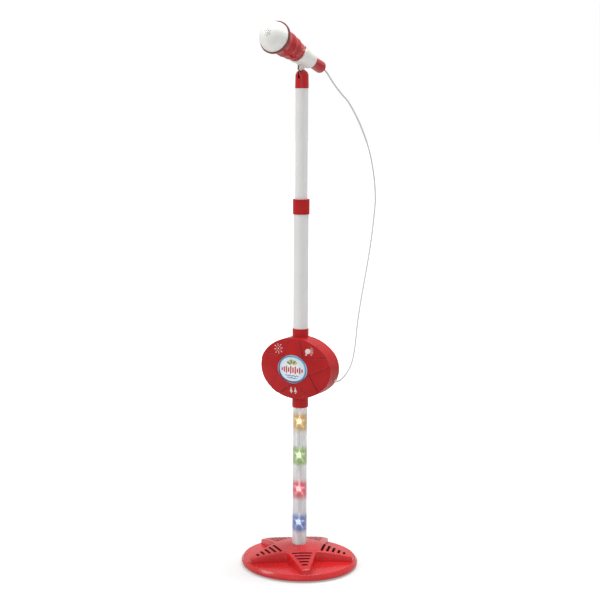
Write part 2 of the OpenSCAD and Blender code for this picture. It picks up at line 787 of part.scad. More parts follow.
module on_mic() {
    translate([0, 0, mic_z]) rotate([90 - mic_tilt, 0, 0]) children();
}
step_top = cone_top + 18;
rib_low = step_top + 2;
rib_grooves = [62, 67, 72];
step_grooves = [43, 49];
module mic_section(inset) {
    polygon([
        [0, body_low], [cone_r[0] - inset, body_low], [cone_r[1] - inset, cone_top + inset],
        [step_r - 0.8 - inset, cone_top + inset], [step_r - inset, step_top],
        [rib_r - inset, rib_low], [rib_r - inset, rib_top], [ring_r - 1.2 - inset, ring_low],
        [0, ring_low]
    ]);
}
module groove(r, s, width, depth) {
    translate([0, 0, s]) tube(r + past, r - depth, 0, width);
}
module mic_body() {
    color(red) on_mic() difference() {
        rotate_extrude() mic_section(0);
        rotate_extrude() difference() {
            mic_section(mic_wall);
            translate([0, ring_low - 6]) square([ring_r, 6 + past]);
        }
        translate([0, 0, ring_low - 6]) cylinder(r = grille_r - 2.2, h = 6 + past);
        translate([0, 0, body_low - past]) cylinder(r = cone_r[0] - mic_wall, h = 12);
        for (s = rib_grooves) groove(rib_r, s, 1.6, 0.9);
        for (s = step_grooves) groove(step_r, s, 1.4, 1);
    }
}
module mic_ring() {
    color(dark_red) on_mic() difference() {
        translate([0, 0, ring_low + fit_gap]) cylinder(r1 = ring_r - 0.6, r2 = ring_r, h = ring_h);
        translate([0, 0, ring_low - past]) cylinder(r = grille_r - 2.2, h = ring_h + 2 * past);
        translate([0, 0, ring_low + 2]) cylinder(r = grille_r + fit_gap, h = ring_h);
    }
}
dome_r = (grille_r * grille_r + grille_h * grille_h) / (2 * grille_h);
dome_foot = ring_low + 2 + fit_gap;
module mic_grille() {
    color(white) on_mic() difference() {
        union() {
            translate([0, 0, dome_foot]) cylinder(r = grille_r, h = 3);
            translate([0, 0, dome_foot + 3]) intersection() {
                translate([0, 0, grille_h - dome_r]) sphere(dome_r);
                cylinder(r = grille_r, h = grille_h);
            }
        }
        translate([0, 0, dome_foot - past]) cylinder(r = grille_r - mic_wall, h = 3 + past);
        translate([0, 0, dome_foot + 3]) intersection() {
            translate([0, 0, grille_h - dome_r]) sphere(dome_r - mic_wall);
            cylinder(r = grille_r - mic_wall, h = grille_h);
        }
        cylinder(r = 0.7, h = 2 * ring_low);
        for (turn = [0:60:300]) rotate([0, 0, turn]) translate([3.2, 0, 0]) cylinder(r = 0.7, h = 2 * ring_low);
        for (turn = [30:60:330]) rotate([0, 0, turn]) translate([5.6, 0, 0]) cylinder(r = 0.7, h = 2 * ring_low);
    }
}
cup_low = ring_low - 8;
module capsule_cup() {
    color("#d0d0cc") on_mic() difference() {
        union() {
            translate([0, 0, dome_foot - 2]) cylinder(r = grille_r - 2.4, h = 2 - fit_gap);
            translate([0, 0, cup_low]) cylinder(r = 10, h = dome_foot - 2 - cup_low);
        }
        translate([0, 0, cup_low + 2]) cylinder(r = 8, h = 20);
        translate([0, 0, cup_low - past]) cylinder(r = 2, h = 20);
    }
}
module mic_capsule() {
    color("#5c5e62") on_mic() translate([0, 0, cup_low + 2 + fit_gap]) cylinder(r = 8 - fit_gap, h = 7);
}
module mic_lead() {
    color("#3c3c40") on_mic() translate([0, 0, tail_end + 4.6]) cylinder(r = 0.9, h = cup_low + 2 - tail_end - 4.6);
}
module mic_tail() {
    color(red) on_mic() difference() {
        union() {
            rotate_extrude() {
                polygon([
                    [0, tail_end], [tail_r - 3, tail_end], [tail_r, tail_end + 3], [tail_r - 0.4, -44],
                    [12, body_low - fit_gap], [0, body_low - fit_gap]
                ]);
                translate([tail_r - 3, tail_end + 3]) circle(3);
            }
            translate([0, 0, body_low - 1]) cylinder(r = cone_r[0] - mic_wall - fit_gap, h = 9);
        }
        translate([0, 0, tail_end + 4]) cylinder(r = tail_r - 2.2, h = 80);
        translate([0, 0, tail_end - past]) cylinder(r = 2.4 + fit_gap, h = 10);
    }
}
module mic_strain_relief() {
    color(white) on_mic() {
        translate([0, 0, tail_end - 0.2]) cylinder(r = 2.4, h = 4);
        translate([0, 0, relief_end]) cylinder(r1 = cord_d / 2 + 0.4, r2 = 3.4, h = tail_end - 0.2 - relief_end);
    }
}
module clip_cone(extra, low, high) {
    translate([0, 0, low]) cylinder(r1 = handle_r(low) + extra, r2 = handle_r(high) + extra, h = high - low);
}
module mic_clip() {
    tab_low = -9;
    tab_high = 8;
    color(white) difference() {
        union() {
            on_mic() difference() {
                clip_cone(run_gap + clip_wall, clip_low, clip_top);
                translate([0, 0, clip_top]) rotate([-45, 0, 0]) translate([-40, -6, 0]) cube([80, 80, 80]);
            }
            translate([-tab_t / 2, 0, pivot_z]) rotate([0, 90, 0]) cylinder(r = eye_r, h = tab_t);
            on_mic() rotate([0, 90, 0]) translate([0, 0, -tab_t / 2]) linear_extrude(tab_t)
                polygon([[-tab_high, -15], [-tab_low, -15], [-tab_low + 2, -27], [-tab_high + 3, -27]]);
            translate([-tab_t / 2, -eye_r, pivot_z]) cube([tab_t, 2 * eye_r, 13]);
        }
        on_mic() {
            clip_cone(run_gap, clip_low - past, clip_top + past);
            translate([-clip_slit / 2, 0, clip_low - past]) cube([clip_slit, 40, clip_top - clip_low + 2 * past]);
        }
        translate([-tab_t, 0, pivot_z]) rotate([0, 90, 0]) cylinder(r = pin_r + screw_gap, h = 2 * tab_t);
    }
}

// ---- cord: hand-picked points along its route, from the microphone to the box ----

cord_route = [
    [0, 73, 878.7], [0, 79, 876.9], [3, 86, 870], [8, 91, 859], [15, 97, 846], [23, 104, 833],
    [31, 111, 821], [42, 122, 795], [53, 131, 763], [63, 136, 728], [70, 138, 689], [74, 136, 657],
    [75, 133, 634], [76, 119, 581], [77, 101, 533], [78, 81, 486], [81, 60, 441], [86, 40, 397],
    [86, 28, 371], [82, 18, 355], [75, 10, 344], [70, 8, 341]
];
cord_steps = 3;
cord_sides = 8;
cord_cuts = [0, 6, 10, 21];      // route points where one stretch ends and the next begins
cord_side = [-0.5, 0.7, 0.5];    // a direction that the cord never follows

function at_route(i) = cord_route[max(0, min(len(cord_route) - 1, i))];
function spline(i, t) =
    let (a = at_route(i - 1), b = at_route(i), c = at_route(i + 1), d = at_route(i + 2))
    b + t * ((c - a) / 2 + t * ((2 * a - 5 * b + 4 * c - d) / 2 + t * (3 * b - a - 3 * c + d) / 2));
cord_line = [
    for (i = [0:len(cord_route) - 2], j = [0:cord_steps - 1]) spline(i, j / cord_steps),
    cord_route[len(cord_route) - 1]
];
function unit(v) = v / norm(v);
function heading(i) = unit(cord_line[min(i + 1, len(cord_line) - 1)] - cord_line[max(i - 1, 0)]);
function cord_ring(i) =
    let (across = unit(cross(heading(i), cord_side)), along = cross(heading(i), across))
    [for (k = [0:cord_sides - 1]) let (a = 360 * k / cord_sides)
        cord_line[i] + cord_d / 2 * (cos(a) * across + sin(a) * along)];
module cord_stretch(part) {
    from = cord_cuts[part] * cord_steps;
    to = cord_cuts[part + 1] * cord_steps;
    count = to - from;
    n = cord_sides;
    points = [for (i = [from:to]) each cord_ring(i)];
    sides = [for (i = [0:count - 1], k = [0:n - 1]) let (a = i * n + k, b = i * n + (k + 1) % n)
        each [[a, b, b + n], [a, b + n, a + n]]];
    start = [for (k = [1:n - 2]) [0, k + 1, k]];
    end = [for (k = [1:n - 2]) [count * n, count * n + k, count * n + k + 1]];
    color(white) polyhedron(points, concat(sides, start, end));
}
module cord_top() { cord_stretch(0); }
module cord_middle() { cord_stretch(1); }
module cord_lower() { cord_stretch(2); }

base_shell();
base_plate();
rubber_feet();
base_screws();
mast_screw();
light_tube();
strip_foot();
strip_head();
led_strip();
led_chips();
blue_star();
red_star();
green_star();
yellow_star();
led_wires();
front_shell();
rear_shell();
case_screws();
badge();
left_key();
right_key();
low_key();
circuit_board();
board_screws();
key_switches();
speaker();
batteries();
battery_contacts();
battery_door();
door_screw();
switch_body();
switch_knob();
box_strain_relief();
middle_tube();
lock_ring();
grip_bush();
upper_tube();
tube_foot();
top_cap();
pivot_pin();
mic_clip();
mic_body();
mic_ring();
mic_grille();
mic_capsule();
capsule_cup();
mic_lead();
mic_tail();
mic_strain_relief();
cord_top();
cord_middle();
cord_lower();
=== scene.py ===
"""Toy microphone on its lit stand: the looks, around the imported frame."""

import math

import bmesh
import bpy
from mathutils import Matrix, Vector


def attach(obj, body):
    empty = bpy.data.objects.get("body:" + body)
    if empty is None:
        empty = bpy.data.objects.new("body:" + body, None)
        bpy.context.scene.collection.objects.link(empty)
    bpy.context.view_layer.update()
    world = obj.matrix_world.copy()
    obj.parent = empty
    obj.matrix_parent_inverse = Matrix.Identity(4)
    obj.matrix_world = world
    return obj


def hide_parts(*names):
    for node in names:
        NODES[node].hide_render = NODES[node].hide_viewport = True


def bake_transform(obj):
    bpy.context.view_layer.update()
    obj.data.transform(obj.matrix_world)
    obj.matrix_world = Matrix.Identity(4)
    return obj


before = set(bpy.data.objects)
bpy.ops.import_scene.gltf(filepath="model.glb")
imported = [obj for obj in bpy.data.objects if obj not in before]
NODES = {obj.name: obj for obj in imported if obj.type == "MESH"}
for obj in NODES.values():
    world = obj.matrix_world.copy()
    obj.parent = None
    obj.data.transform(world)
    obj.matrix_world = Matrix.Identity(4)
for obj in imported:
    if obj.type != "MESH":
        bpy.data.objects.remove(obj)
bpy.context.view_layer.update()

MM = 0.001

# ---------------------------------------------------------------- sizes that repeat the part's own

BASE_R = 103.5 * MM
RIM_R = 4.6 * MM
PANEL_Z = 13.4 * MM              # where the base's panels meet the rim
PANEL_RISE = 2.2 * MM
HUB_Z = 38.8 * MM
TIP_Z = 21.4 * MM
STAR_SAG = 1.75 * MM             # how far the arched top of an arm stands over its chord
TIP_R = 98 * MM
TIP_W = 13 * MM
VALLEY_R = 46 * MM
BASE_LOW_Z = 3 * MM
TUBE_R = 13 * MM
TUBE_SEAT_R = TUBE_R + 0.1 * MM
SLOT_START = 43.4 * MM
SLOT_PITCH = 9.4 * MM
SLOT_WIDTH = 4.4 * MM
SLOT_INSET = 7 * MM              # from a slot's end to the arm's edge
ARMS = 5
ARM_TURN = 360 / ARMS
LIGHT_Z = [(78 + 61.5 * i) * MM for i in range(4)]
BOX_Z = 361 * MM
BOX_STRETCH = 139 / 108          # the star on the box is wider than high by this
FACE_R = 246 * MM
FACE_APEX = 29 * MM
STAR_STEP = 1.2 * MM
MIC_Z = 901 * MM
MIC_LEAN = math.radians(90 - 17)
CORD_D = 3 * MM
PIVOT_Z = 869 * MM
TAB_DEEP = 5.2 * MM              # from the clip's pivot to the front of its tab

# ---------------------------------------------------------------- small tools


def clear_selection():
    """Nothing selected, as every piece starts."""
    if bpy.context.mode != "OBJECT":
        bpy.ops.object.mode_set(mode="OBJECT")
    bpy.ops.object.select_all(action="DESELECT")


def only(piece):
    """piece alone is selected and active."""
    clear_selection()
    piece.select_set(True)
    bpy.context.view_layer.objects.active = piece
    return piece


def into_mesh(piece):
    """The piece's place goes into its mesh, so that its object sits at the origin."""
    only(piece)
    bpy.ops.object.transform_apply(location=True, rotation=True, scale=True)
    return piece


def named(name):
    """The object just made gets its name."""
    piece = bpy.context.object
    piece.name = name
    piece.data.name = name
    return piece


def edit(piece):
    """The piece alone in edit mode, with all of it selected, until done()."""
    only(piece)
    bpy.ops.object.mode_set(mode="EDIT")
    bpy.ops.mesh.select_all(action="SELECT")


def done():
    bpy.ops.object.mode_set(mode="OBJECT")


def pick(piece, verts=None, edges=None):
    """Selects what passes the test, by its place: a vertex's, or an edge's two ends."""
    mesh = bmesh.from_edit_mesh(piece.data)
    bpy.ops.mesh.select_all(action="DESELECT")
    if verts:
        bpy.ops.mesh.select_mode(type="VERT")
        for v in mesh.verts:
            v.select = verts(v.co)
    if edges:
        bpy.ops.mesh.select_mode(type="EDGE")
        for e in mesh.edges:
            e.select = edges(e.verts[0].co, e.verts[1].co)
    mesh.select_flush_mode()
    bmesh.update_edit_mesh(piece.data)


def outward(piece):
    """Doubles merged, then all faces turned outwards."""
    edit(piece)
    bpy.ops.mesh.remove_doubles(threshold=2e-6)
    bpy.ops.mesh.select_all(action="SELECT")
    bpy.ops.mesh.normals_make_consistent(inside=False)
    done()
    return piece


def turned(name, rings, sides=96, closed=True):
    """A body of rotation about Z: one circle at the first (radius, height), extruded from ring to ring.
    A closed one ends where it began, so it has a wall, and an open one is capped by its poles."""
    radius, height = rings[0]
    clear_selection()
    bpy.ops.mesh.primitive_circle_add(vertices=sides, radius=radius, location=(0, 0, height))
    piece = into_mesh(named(name))
    edit(piece)
    path = rings[1:] + ([rings[0]] if closed else [])
    for r, z in path:
        bpy.ops.mesh.extrude_edges_move(TRANSFORM_OT_translate={"value": (0, 0, z - height)})
        bpy.ops.transform.resize(value=(r / radius, r / radius, 1), center_override=(0, 0, z))
        radius, height = r, z
    done()
    return outward(piece)


POLE = 2e-7                      # a radius so small that its ring merges into one point


def arc(middle, radius, start, end, steps):
    """(radius, height) points on an arc of a profile. Angles are from straight up, towards outside."""
    return [
        (middle[0] + radius * math.sin(a), middle[1] + radius * math.cos(a))
        for a in (math.radians(start + (end - start) * i / steps) for i in range(steps + 1))
    ]


def at(radius, height):
    """A profile point given in millimetres."""
    return (radius * MM, height * MM)


def block(name, size, middle):
    """A plain box."""
    clear_selection()
    bpy.ops.mesh.primitive_cube_add(size=1, location=middle, scale=size)
    return into_mesh(named(name))


def rod(name, radius, start, end, sides=24):
    """A round bar between two points."""
    start, end = Vector(start), Vector(end)
    clear_selection()
    bpy.ops.mesh.primitive_cylinder_add(vertices=sides, radius=radius, depth=(end - start).length)
    piece = named(name)
    turn = (end - start).to_track_quat("Z", "Y").to_matrix().to_4x4()
    piece.matrix_world = Matrix.Translation((start + end) / 2) @ turn
    return into_mesh(piece)


def combine(piece, tool, operation, inside=None):
    """Joins, cuts or keeps what both share. Faces cut by a tool with a material of its own keep that one."""
    only(piece)
    step = piece.modifiers.new(operation, "BOOLEAN")
    step.operation, step.solver, step.object = operation, "EXACT", tool
    if inside:
        tool.data.materials.clear()
        tool.data.materials.append(inside)
        step.material_mode = "TRANSFER"
    bpy.ops.object.modifier_apply(modifier=step.name)
    bpy.data.objects.remove(tool)
    return piece


def joined(name, parts):
    """Several meshes become one object."""
    clear_selection()
    for part in parts:
        part.select_set(True)
    bpy.context.view_layer.objects.active = parts[0]
    bpy.ops.object.join()
    return named(name)


def soften(piece, width, segments=3, angle=35):
    """Every sharp edge is rounded."""
    only(piece)
    step = piece.modifiers.new("Soft edges", "BEVEL")
    step.width, step.segments, step.limit_method = width, segments, "ANGLE"
    step.angle_limit = math.radians(angle)
    step.use_clamp_overlap = False
    bpy.ops.object.modifier_apply(modifier=step.name)
    return piece


def smooth(piece, angle=30):
    """Smooth shading across all edges flatter than the angle."""
    only(piece)
    bpy.ops.object.shade_smooth_by_angle(angle=math.radians(angle))
    return piece


def finished(piece, body, material, replaces=()):
    """The piece gets its material, the nodes it stands for and the body it rides on."""
    if material:
        piece.data.materials.clear()
        piece.data.materials.append(material)
    if replaces:
        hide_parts(*replaces)
    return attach(piece, body)


# ---------------------------------------------------------------- camera, as the photograph was taken

CAMERA_TURN = math.radians(29.2)      # how far round from the front it stands
CAMERA_ASIDE = math.radians(4.72)     # how far it looks past the object, whose picture was cut off-centre
CAMERA_DOWN = math.radians(8.9)
CAMERA_ROLL = math.radians(-0.41)
CAMERA_AWAY = 2.449
CAMERA_Z = 0.863
FOCAL_PER_FRAME = 1414 / 600
SHIFT_X = 0.191


def add_camera():
    data = bpy.data.cameras.new("Camera")
    data.sensor_width = 36
    data.lens = 36 * FOCAL_PER_FRAME
    data.shift_x = SHIFT_X
    data.clip_start, data.clip_end = 0.1, 50
    camera = bpy.data.objects.new("Camera", data)
    bpy.context.scene.collection.objects.link(camera)
    heading = CAMERA_TURN + CAMERA_ASIDE
    ahead = Vector((
        -math.sin(heading) * math.cos(CAMERA_DOWN),
        math.cos(heading) * math.cos(CAMERA_DOWN),
        -math.sin(CAMERA_DOWN),
    ))
    level = Vector((math.cos(heading), math.sin(heading), 0))
    above = level.cross(ahead)
    right = level * math.cos(CAMERA_ROLL) + above * math.sin(CAMERA_ROLL)
    up = above * math.cos(CAMERA_ROLL) - level * math.sin(CAMERA_ROLL)
    place = Matrix((right, up, -ahead)).transposed().to_4x4()
    place.translation = (CAMERA_AWAY * math.sin(CAMERA_TURN), -CAMERA_AWAY * math.cos(CAMERA_TURN), CAMERA_Z)
    camera.matrix_world = place
    bpy.context.scene.camera = camera


add_camera()

# ---------------------------------------------------------------- materials


def srgb(red, green, blue):
    """A colour as the eye reads it, 0 to 255, as Blender's linear colour."""
    def linear(c):
        c /= 255
        return c / 12.92 if c <= 0.04045 else ((c + 0.055) / 1.055) ** 2.4
    return (linear(red), linear(green), linear(blue), 1.0)


def toned(colour, share):
    """The colour made darker or lighter."""
    return tuple(min(1, c * share) for c in colour[:3]) + (1,)


class Finish:
    """A material under construction: its nodes and what joins them."""

    def __init__(self, name):
        self.material = bpy.data.materials.new(name)
        self.material.use_nodes = True
        tree = self.material.node_tree
        self.nodes, self.links = tree.nodes, tree.links
        self.surface = self.nodes["Principled BSDF"]
        self.out = self.nodes["Material Output"]
        self.place = self.nodes.new("ShaderNodeTexCoord").outputs["Object"]

    def add(self, kind, **settings):
        node = self.nodes.new("ShaderNode" + kind)
        for key, value in settings.items():
            if hasattr(node, key):
                setattr(node, key, value)
            else:
                node.inputs[key].default_value = value
        return node

    def join(self, source, target):
        self.links.new(source, target)
        return self

    def feed(self, **sources):
        """Joins each source to the surface's input of that name."""
        for key, source in sources.items():
            self.join(source, self.surface.inputs[key.replace("_", " ")])

    def stretched(self, along, turn=0.0):
        """The place drawn out along Z, for lines that run lengthways."""
        node = self.add("Mapping")
        node.inputs["Rotation"].default_value = (0, math.radians(turn), 0)
        node.inputs["Scale"].default_value = (1, 1, along)
        self.join(self.place, node.inputs["Vector"])
        return node.outputs[0]

    def noise(self, scale, detail=3, rough=0.5, place=None):
        node = self.add("TexNoise", Scale=scale, Detail=detail, Roughness=rough)
        self.join(place or self.place, node.inputs["Vector"])
        return node.outputs["Fac"]

    def math(self, operation, a, b=0.0, c=None):
        node = self.add("Math", operation=operation)
        for i, value in enumerate((a, b, c)):
            if isinstance(value, (int, float)):
                node.inputs[i].default_value = value
            elif value is not None:
                self.join(value, node.inputs[i])
        return node.outputs[0]

    def span(self, value, low, high, to_low, to_high, kind="LINEAR"):
        """value, from low to high, laid out from to_low to to_high."""
        node = self.add("MapRange", interpolation_type=kind)
        self.join(value, node.inputs["Value"])
        for key, number in zip(("From Min", "From Max", "To Min", "To Max"), (low, high, to_low, to_high)):
            node.inputs[key].default_value = number
        return node.outputs["Result"]

    def mix(self, share, a, b):
        """Colour a where share is 0 and b where it is 1."""
        node = self.add("Mix", data_type="RGBA")
        for socket, value in ((node.inputs[0], share), (node.inputs[6], a), (node.inputs[7], b)):
            if isinstance(value, (int, float, tuple)):
                socket.default_value = value
            else:
                self.join(value, socket)
        return node.outputs[2]

    def axes(self):
        node = self.add("SeparateXYZ")
        self.join(self.place, node.inputs[0])
        return node.outputs

    def around_light(self, height):
        """How far a point is beside, above and away from a light's middle, seen from the front."""
        axes = self.axes()
        rise = self.math("SUBTRACT", axes["Z"], height)
        away = self.math("SQRT", self.math("ADD", self.math("POWER", axes["X"], 2.0), self.math("POWER", rise, 2.0)))
        return axes["X"], rise, away

    def edges(self, radius):
        """How far a point is round an edge: 0 on a flat, towards 1 on the edge. Also the rounded normal."""
        rounded = self.add("Bevel", samples=6)
        rounded.inputs["Radius"].default_value = radius
        flat = self.add("NewGeometry")
        dot = self.add("VectorMath", operation="DOT_PRODUCT")
        self.join(rounded.outputs[0], dot.inputs[0]).join(flat.outputs["Normal"], dot.inputs[1])
        return self.span(dot.outputs["Value"], 1.0, 0.75, 0.0, 1.0), rounded.outputs[0]

    def bump(self, height, depth, normal=None):
        """The surface follows height, by depth at most."""
        node = self.add("Bump", Strength=1.0, Distance=depth)
        self.join(height, node.inputs["Height"])
        if normal is not None:
            self.join(normal, node.inputs["Normal"])
        self.feed(Normal=node.outputs[0])

    def set(self, **values):
        for key, value in values.items():
            self.surface.inputs[key.replace("_", " ")].default_value = value


def plastic(name, colour, rough=0.32, edge=0.7 * MM, pale=0.22, grain=1500, depth=0.03 * MM, coat=0.25,
            mirror=0.5):
    """Moulded plastic: a cloudy colour, a fine skin, edges made paler partly by patchy wear and partly by a painted
    highlight, and a patchy gloss.
    edge 0 leaves the edges out, for pieces whose edges are rounded in their shape."""
    f = Finish(name)
    cloud = f.noise(28, 4, 0.55)
    fleck = f.noise(grain, 2)
    scuff = f.noise(170, 6, 0.62)
    light = tuple(min(1, c * 1.04 + 0.004) for c in colour[:3]) + (1,)
    body = f.mix(f.span(cloud, 0.32, 0.68, 0, 1), toned(colour, 0.9), light)
    rounded = None
    if edge:
        # Edges lightened: partly patchy wear, partly a painted highlight where rounded edges would catch the light.
        worn_and_highlit_edge = tuple(c * (1 - pale) + pale for c in colour[:3]) + (1,)
        edge_wear_and_highlight, rounded = f.edges(edge)
        body = f.mix(f.math("MULTIPLY", edge_wear_and_highlight, f.span(scuff, 0.3, 0.7, 0.55, 1.0)), body, worn_and_highlit_edge)
    f.feed(Base_Color=body, Roughness=f.span(scuff, 0.3, 0.75, rough - 0.05, rough + 0.09))
    f.bump(fleck, depth, rounded)
    f.set(Coat_Weight=coat, Coat_Roughness=0.18, IOR=1.5, Specular_IOR_Level=mirror)
    return f.material


def rubber(name, colour):
    """Dull rubber with some dust on it."""
    f = Finish(name)
    dust = f.noise(240, 5, 0.6)
    f.feed(Base_Color=f.mix(f.span(dust, 0.35, 0.7, 0, 1), colour, toned(colour, 1.9)),
           Roughness=f.span(dust, 0.3, 0.7, 0.72, 0.9))
    f.bump(f.noise(1100, 3), 0.05 * MM, f.edges(0.5 * MM)[1])
    return f.material


def steel(name, colour=(0.56, 0.57, 0.58, 1)):
    """Zinc-plated steel with fine turning marks."""
    f = Finish(name)
    patch = f.noise(420, 5, 0.6)
    f.feed(Base_Color=f.mix(f.span(patch, 0.3, 0.7, 0, 1), toned(colour, 0.8), colour),
           Roughness=f.span(patch, 0.3, 0.7, 0.24, 0.42))
    f.bump(f.noise(2600, 2), 0.01 * MM, f.edges(0.15 * MM)[1])
    f.set(Metallic=1.0)
    return f.material


def tube_plastic(name, colour):
    """Extruded tube: faint lines along its length and a soft sheen."""
    f = Finish(name)
    lines = f.noise(900, 3, 0.6, f.stretched(0.02))
    cloud = f.noise(22, 3)
    shade = f.math("ADD", f.math("MULTIPLY", lines, 0.6), f.math("MULTIPLY", cloud, 0.4))
    f.feed(Base_Color=f.mix(f.span(shade, 0.3, 0.7, 0, 1), toned(colour, 0.95), colour),
           Roughness=f.span(cloud, 0.3, 0.7, 0.36, 0.48))
    f.bump(lines, 0.015 * MM)
    f.set(Coat_Weight=0.15, Coat_Roughness=0.25)
    return f.material


LIGHT_COLOURS = [srgb(84, 118, 178), srgb(206, 78, 96), srgb(146, 174, 96), srgb(198, 164, 84)]


def lit_tube(name):
    """Frosted clear tube that takes on the colour of the light behind it: a painted glow in each light's colour round
    its height, painted pale streaks of highlight, and a faint painted glow all over.
    """
    f = Finish(name)
    z = f.axes()["Z"]
    cloud = f.noise(60, 4, 0.6)
    lines = f.noise(500, 3, 0.6, f.stretched(0.05))
    # Painted highlight: pale streaks that lighten the colour and add to the glow.
    gleam = f.span(f.noise(190, 2, 0.5, f.stretched(0.12, 24)), 0.5, 0.72, 0, 1, "SMOOTHSTEP")
    colour = f.mix(gleam, srgb(226, 227, 230), srgb(250, 250, 250))
    total = gleam
    lit = 0.0
    # Painted glow of each light on the tube, in its colour, round the light's height.
    for height, tint in zip(LIGHT_Z, LIGHT_COLOURS):
        away = f.math("ABSOLUTE", f.math("SUBTRACT", z, height))
        wave = f.math("MULTIPLY", f.math("SUBTRACT", cloud, 0.5), 12 * MM)
        near = f.span(f.math("ADD", away, wave), 10 * MM, 21 * MM, 1, 0, "SMOOTHSTEP")
        colour = f.mix(f.math("MULTIPLY", near, 0.86), colour, tint)
        total = f.math("ADD", total, near)
        lit = f.math("MAXIMUM", near, lit)
    f.feed(Base_Color=colour, Emission_Color=colour,
           Emission_Strength=f.math("ADD", f.math("MULTIPLY", total, 0.06), 0.05),
           Roughness=f.span(cloud, 0.3, 0.7, 0.3, 0.42))
    f.bump(lines, 0.02 * MM)
    f.set(Coat_Weight=0.3, Coat_Roughness=0.12)
    clear = f.add("BsdfTransparent")
    both = f.add("MixShader")
    veil = f.span(lines, 0.2, 0.8, 0.44, 0.58)
    f.join(f.math("ADD", veil, f.math("MULTIPLY", lit, 0.04)), both.inputs[0])
    f.join(clear.outputs[0], both.inputs[1]).join(f.surface.outputs[0], both.inputs[2])
    f.join(both.outputs[0], f.out.inputs["Surface"])
    return f.material


def lit_lens(name, height, tint, glow=3.6):
    """A moulded star over a light: white where it is brightest, its own colour towards the points."""
    f = Finish(name)
    _, _, away = f.around_light(height)
    facets = f.noise(700, 2)
    uneven = f.math("ADD", away, f.math("MULTIPLY", facets, 1.2 * MM))
    cool = f.span(uneven, 4 * MM, 9.5 * MM, 0, 1, "SMOOTHSTEP")
    pale = tuple(0.8 + 0.2 * c for c in tint[:3]) + (1,)
    colour = f.mix(cool, pale, tint)
    f.feed(Base_Color=colour, Emission_Color=colour, Emission_Strength=f.span(cool, 0, 1, glow, glow * 0.45))
    f.bump(facets, 0.08 * MM)
    f.set(Roughness=0.25, Coat_Weight=0.4)
    return f.material


def lit_dish(name, height, tint):
    """The dish behind a light: its colour with a painted glow, crossed by fine white rays of painted light that thin
    out towards the rim.
    """
    f = Finish(name)
    x, rise, away = f.around_light(height)
    upright = f.math("SUBTRACT", f.math("ARCTAN2", rise, x), math.pi / 2)

    def fan(count):
        """Narrow rays, so many all round."""
        return f.math("POWER", f.math("ABSOLUTE", f.math("COSINE", f.math("MULTIPLY", upright, count / 2))), 9.0)

    # Painted light: white starburst rays, glowing.
    rays = f.math("ADD", f.math("MULTIPLY", fan(5), f.span(away, 6 * MM, 19 * MM, 1, 0.4)),
                  f.math("MULTIPLY", fan(15), f.span(away, 4 * MM, 11 * MM, 0.5, 0)))
    grain = f.span(f.noise(420, 3), 0.3, 0.7, 0.75, 1.1)
    colour = f.mix(f.math("MULTIPLY", rays, grain), tint, (1, 1, 1, 1))
    f.feed(Base_Color=colour, Emission_Color=colour,
           Emission_Strength=f.math("ADD", f.math("MULTIPLY", rays, 1.6), 0.35))
    f.bump(rays, 0.2 * MM)
    f.set(Roughness=0.3)
    return f.material


def board(name, colour, line):
    """Circuit board: fine tracks under its solder mask."""
    f = Finish(name)
    cell = f.add("TexVoronoi", feature="DISTANCE_TO_EDGE", Scale=230)
    f.join(f.place, cell.inputs["Vector"])
    track = f.span(cell.outputs["Distance"], 0.02, 0.06, 1, 0)
    f.feed(Base_Color=f.mix(track, colour, line), Roughness=f.span(f.noise(300), 0.3, 0.7, 0.35, 0.5))
    f.bump(track, 0.03 * MM)
    return f.material


def cell_wrap(name):
    """Plain wrapped battery cells: a green sleeve with a pale band, and bare metal ends."""
    f = Finish(name)
    x = f.axes()["X"]
    dent = f.noise(150, 4)
    bare = f.span(f.math("ABSOLUTE", f.math("SUBTRACT", x, -23 * MM)), 22.9 * MM, 23.2 * MM, 0, 1)
    band = f.span(f.math("ABSOLUTE", f.math("SUBTRACT", x, -36 * MM)), 5.8 * MM, 6.0 * MM, 1, 0)
    green = f.mix(f.span(dent, 0.3, 0.7, 0, 1), srgb(74, 110, 62), srgb(86, 124, 74))
    f.feed(Base_Color=f.mix(bare, f.mix(band, green, srgb(210, 205, 190)), srgb(196, 196, 192)),
           Roughness=f.span(dent, 0.3, 0.7, 0.28, 0.4))
    f.set(Metallic=0.35, Coat_Weight=0.3)
    f.bump(dent, 0.02 * MM)
    return f.material


def soft_cord(name, colour):
    """Soft cord: a faint wave of handling along its length, matt and a little dusty."""
    f = Finish(name)
    handled = f.noise(90, 5, 0.6)
    skin = f.noise(1900, 2)
    f.feed(Base_Color=f.mix(f.span(handled, 0.3, 0.72, 0, 1), toned(colour, 0.95), colour),
           Roughness=f.span(handled, 0.3, 0.7, 0.45, 0.6))
    f.bump(skin, 0.015 * MM)
    return f.material


BADGE_A = 29 * MM                # half the badge's width and half its height
BADGE_B = 24.7 * MM


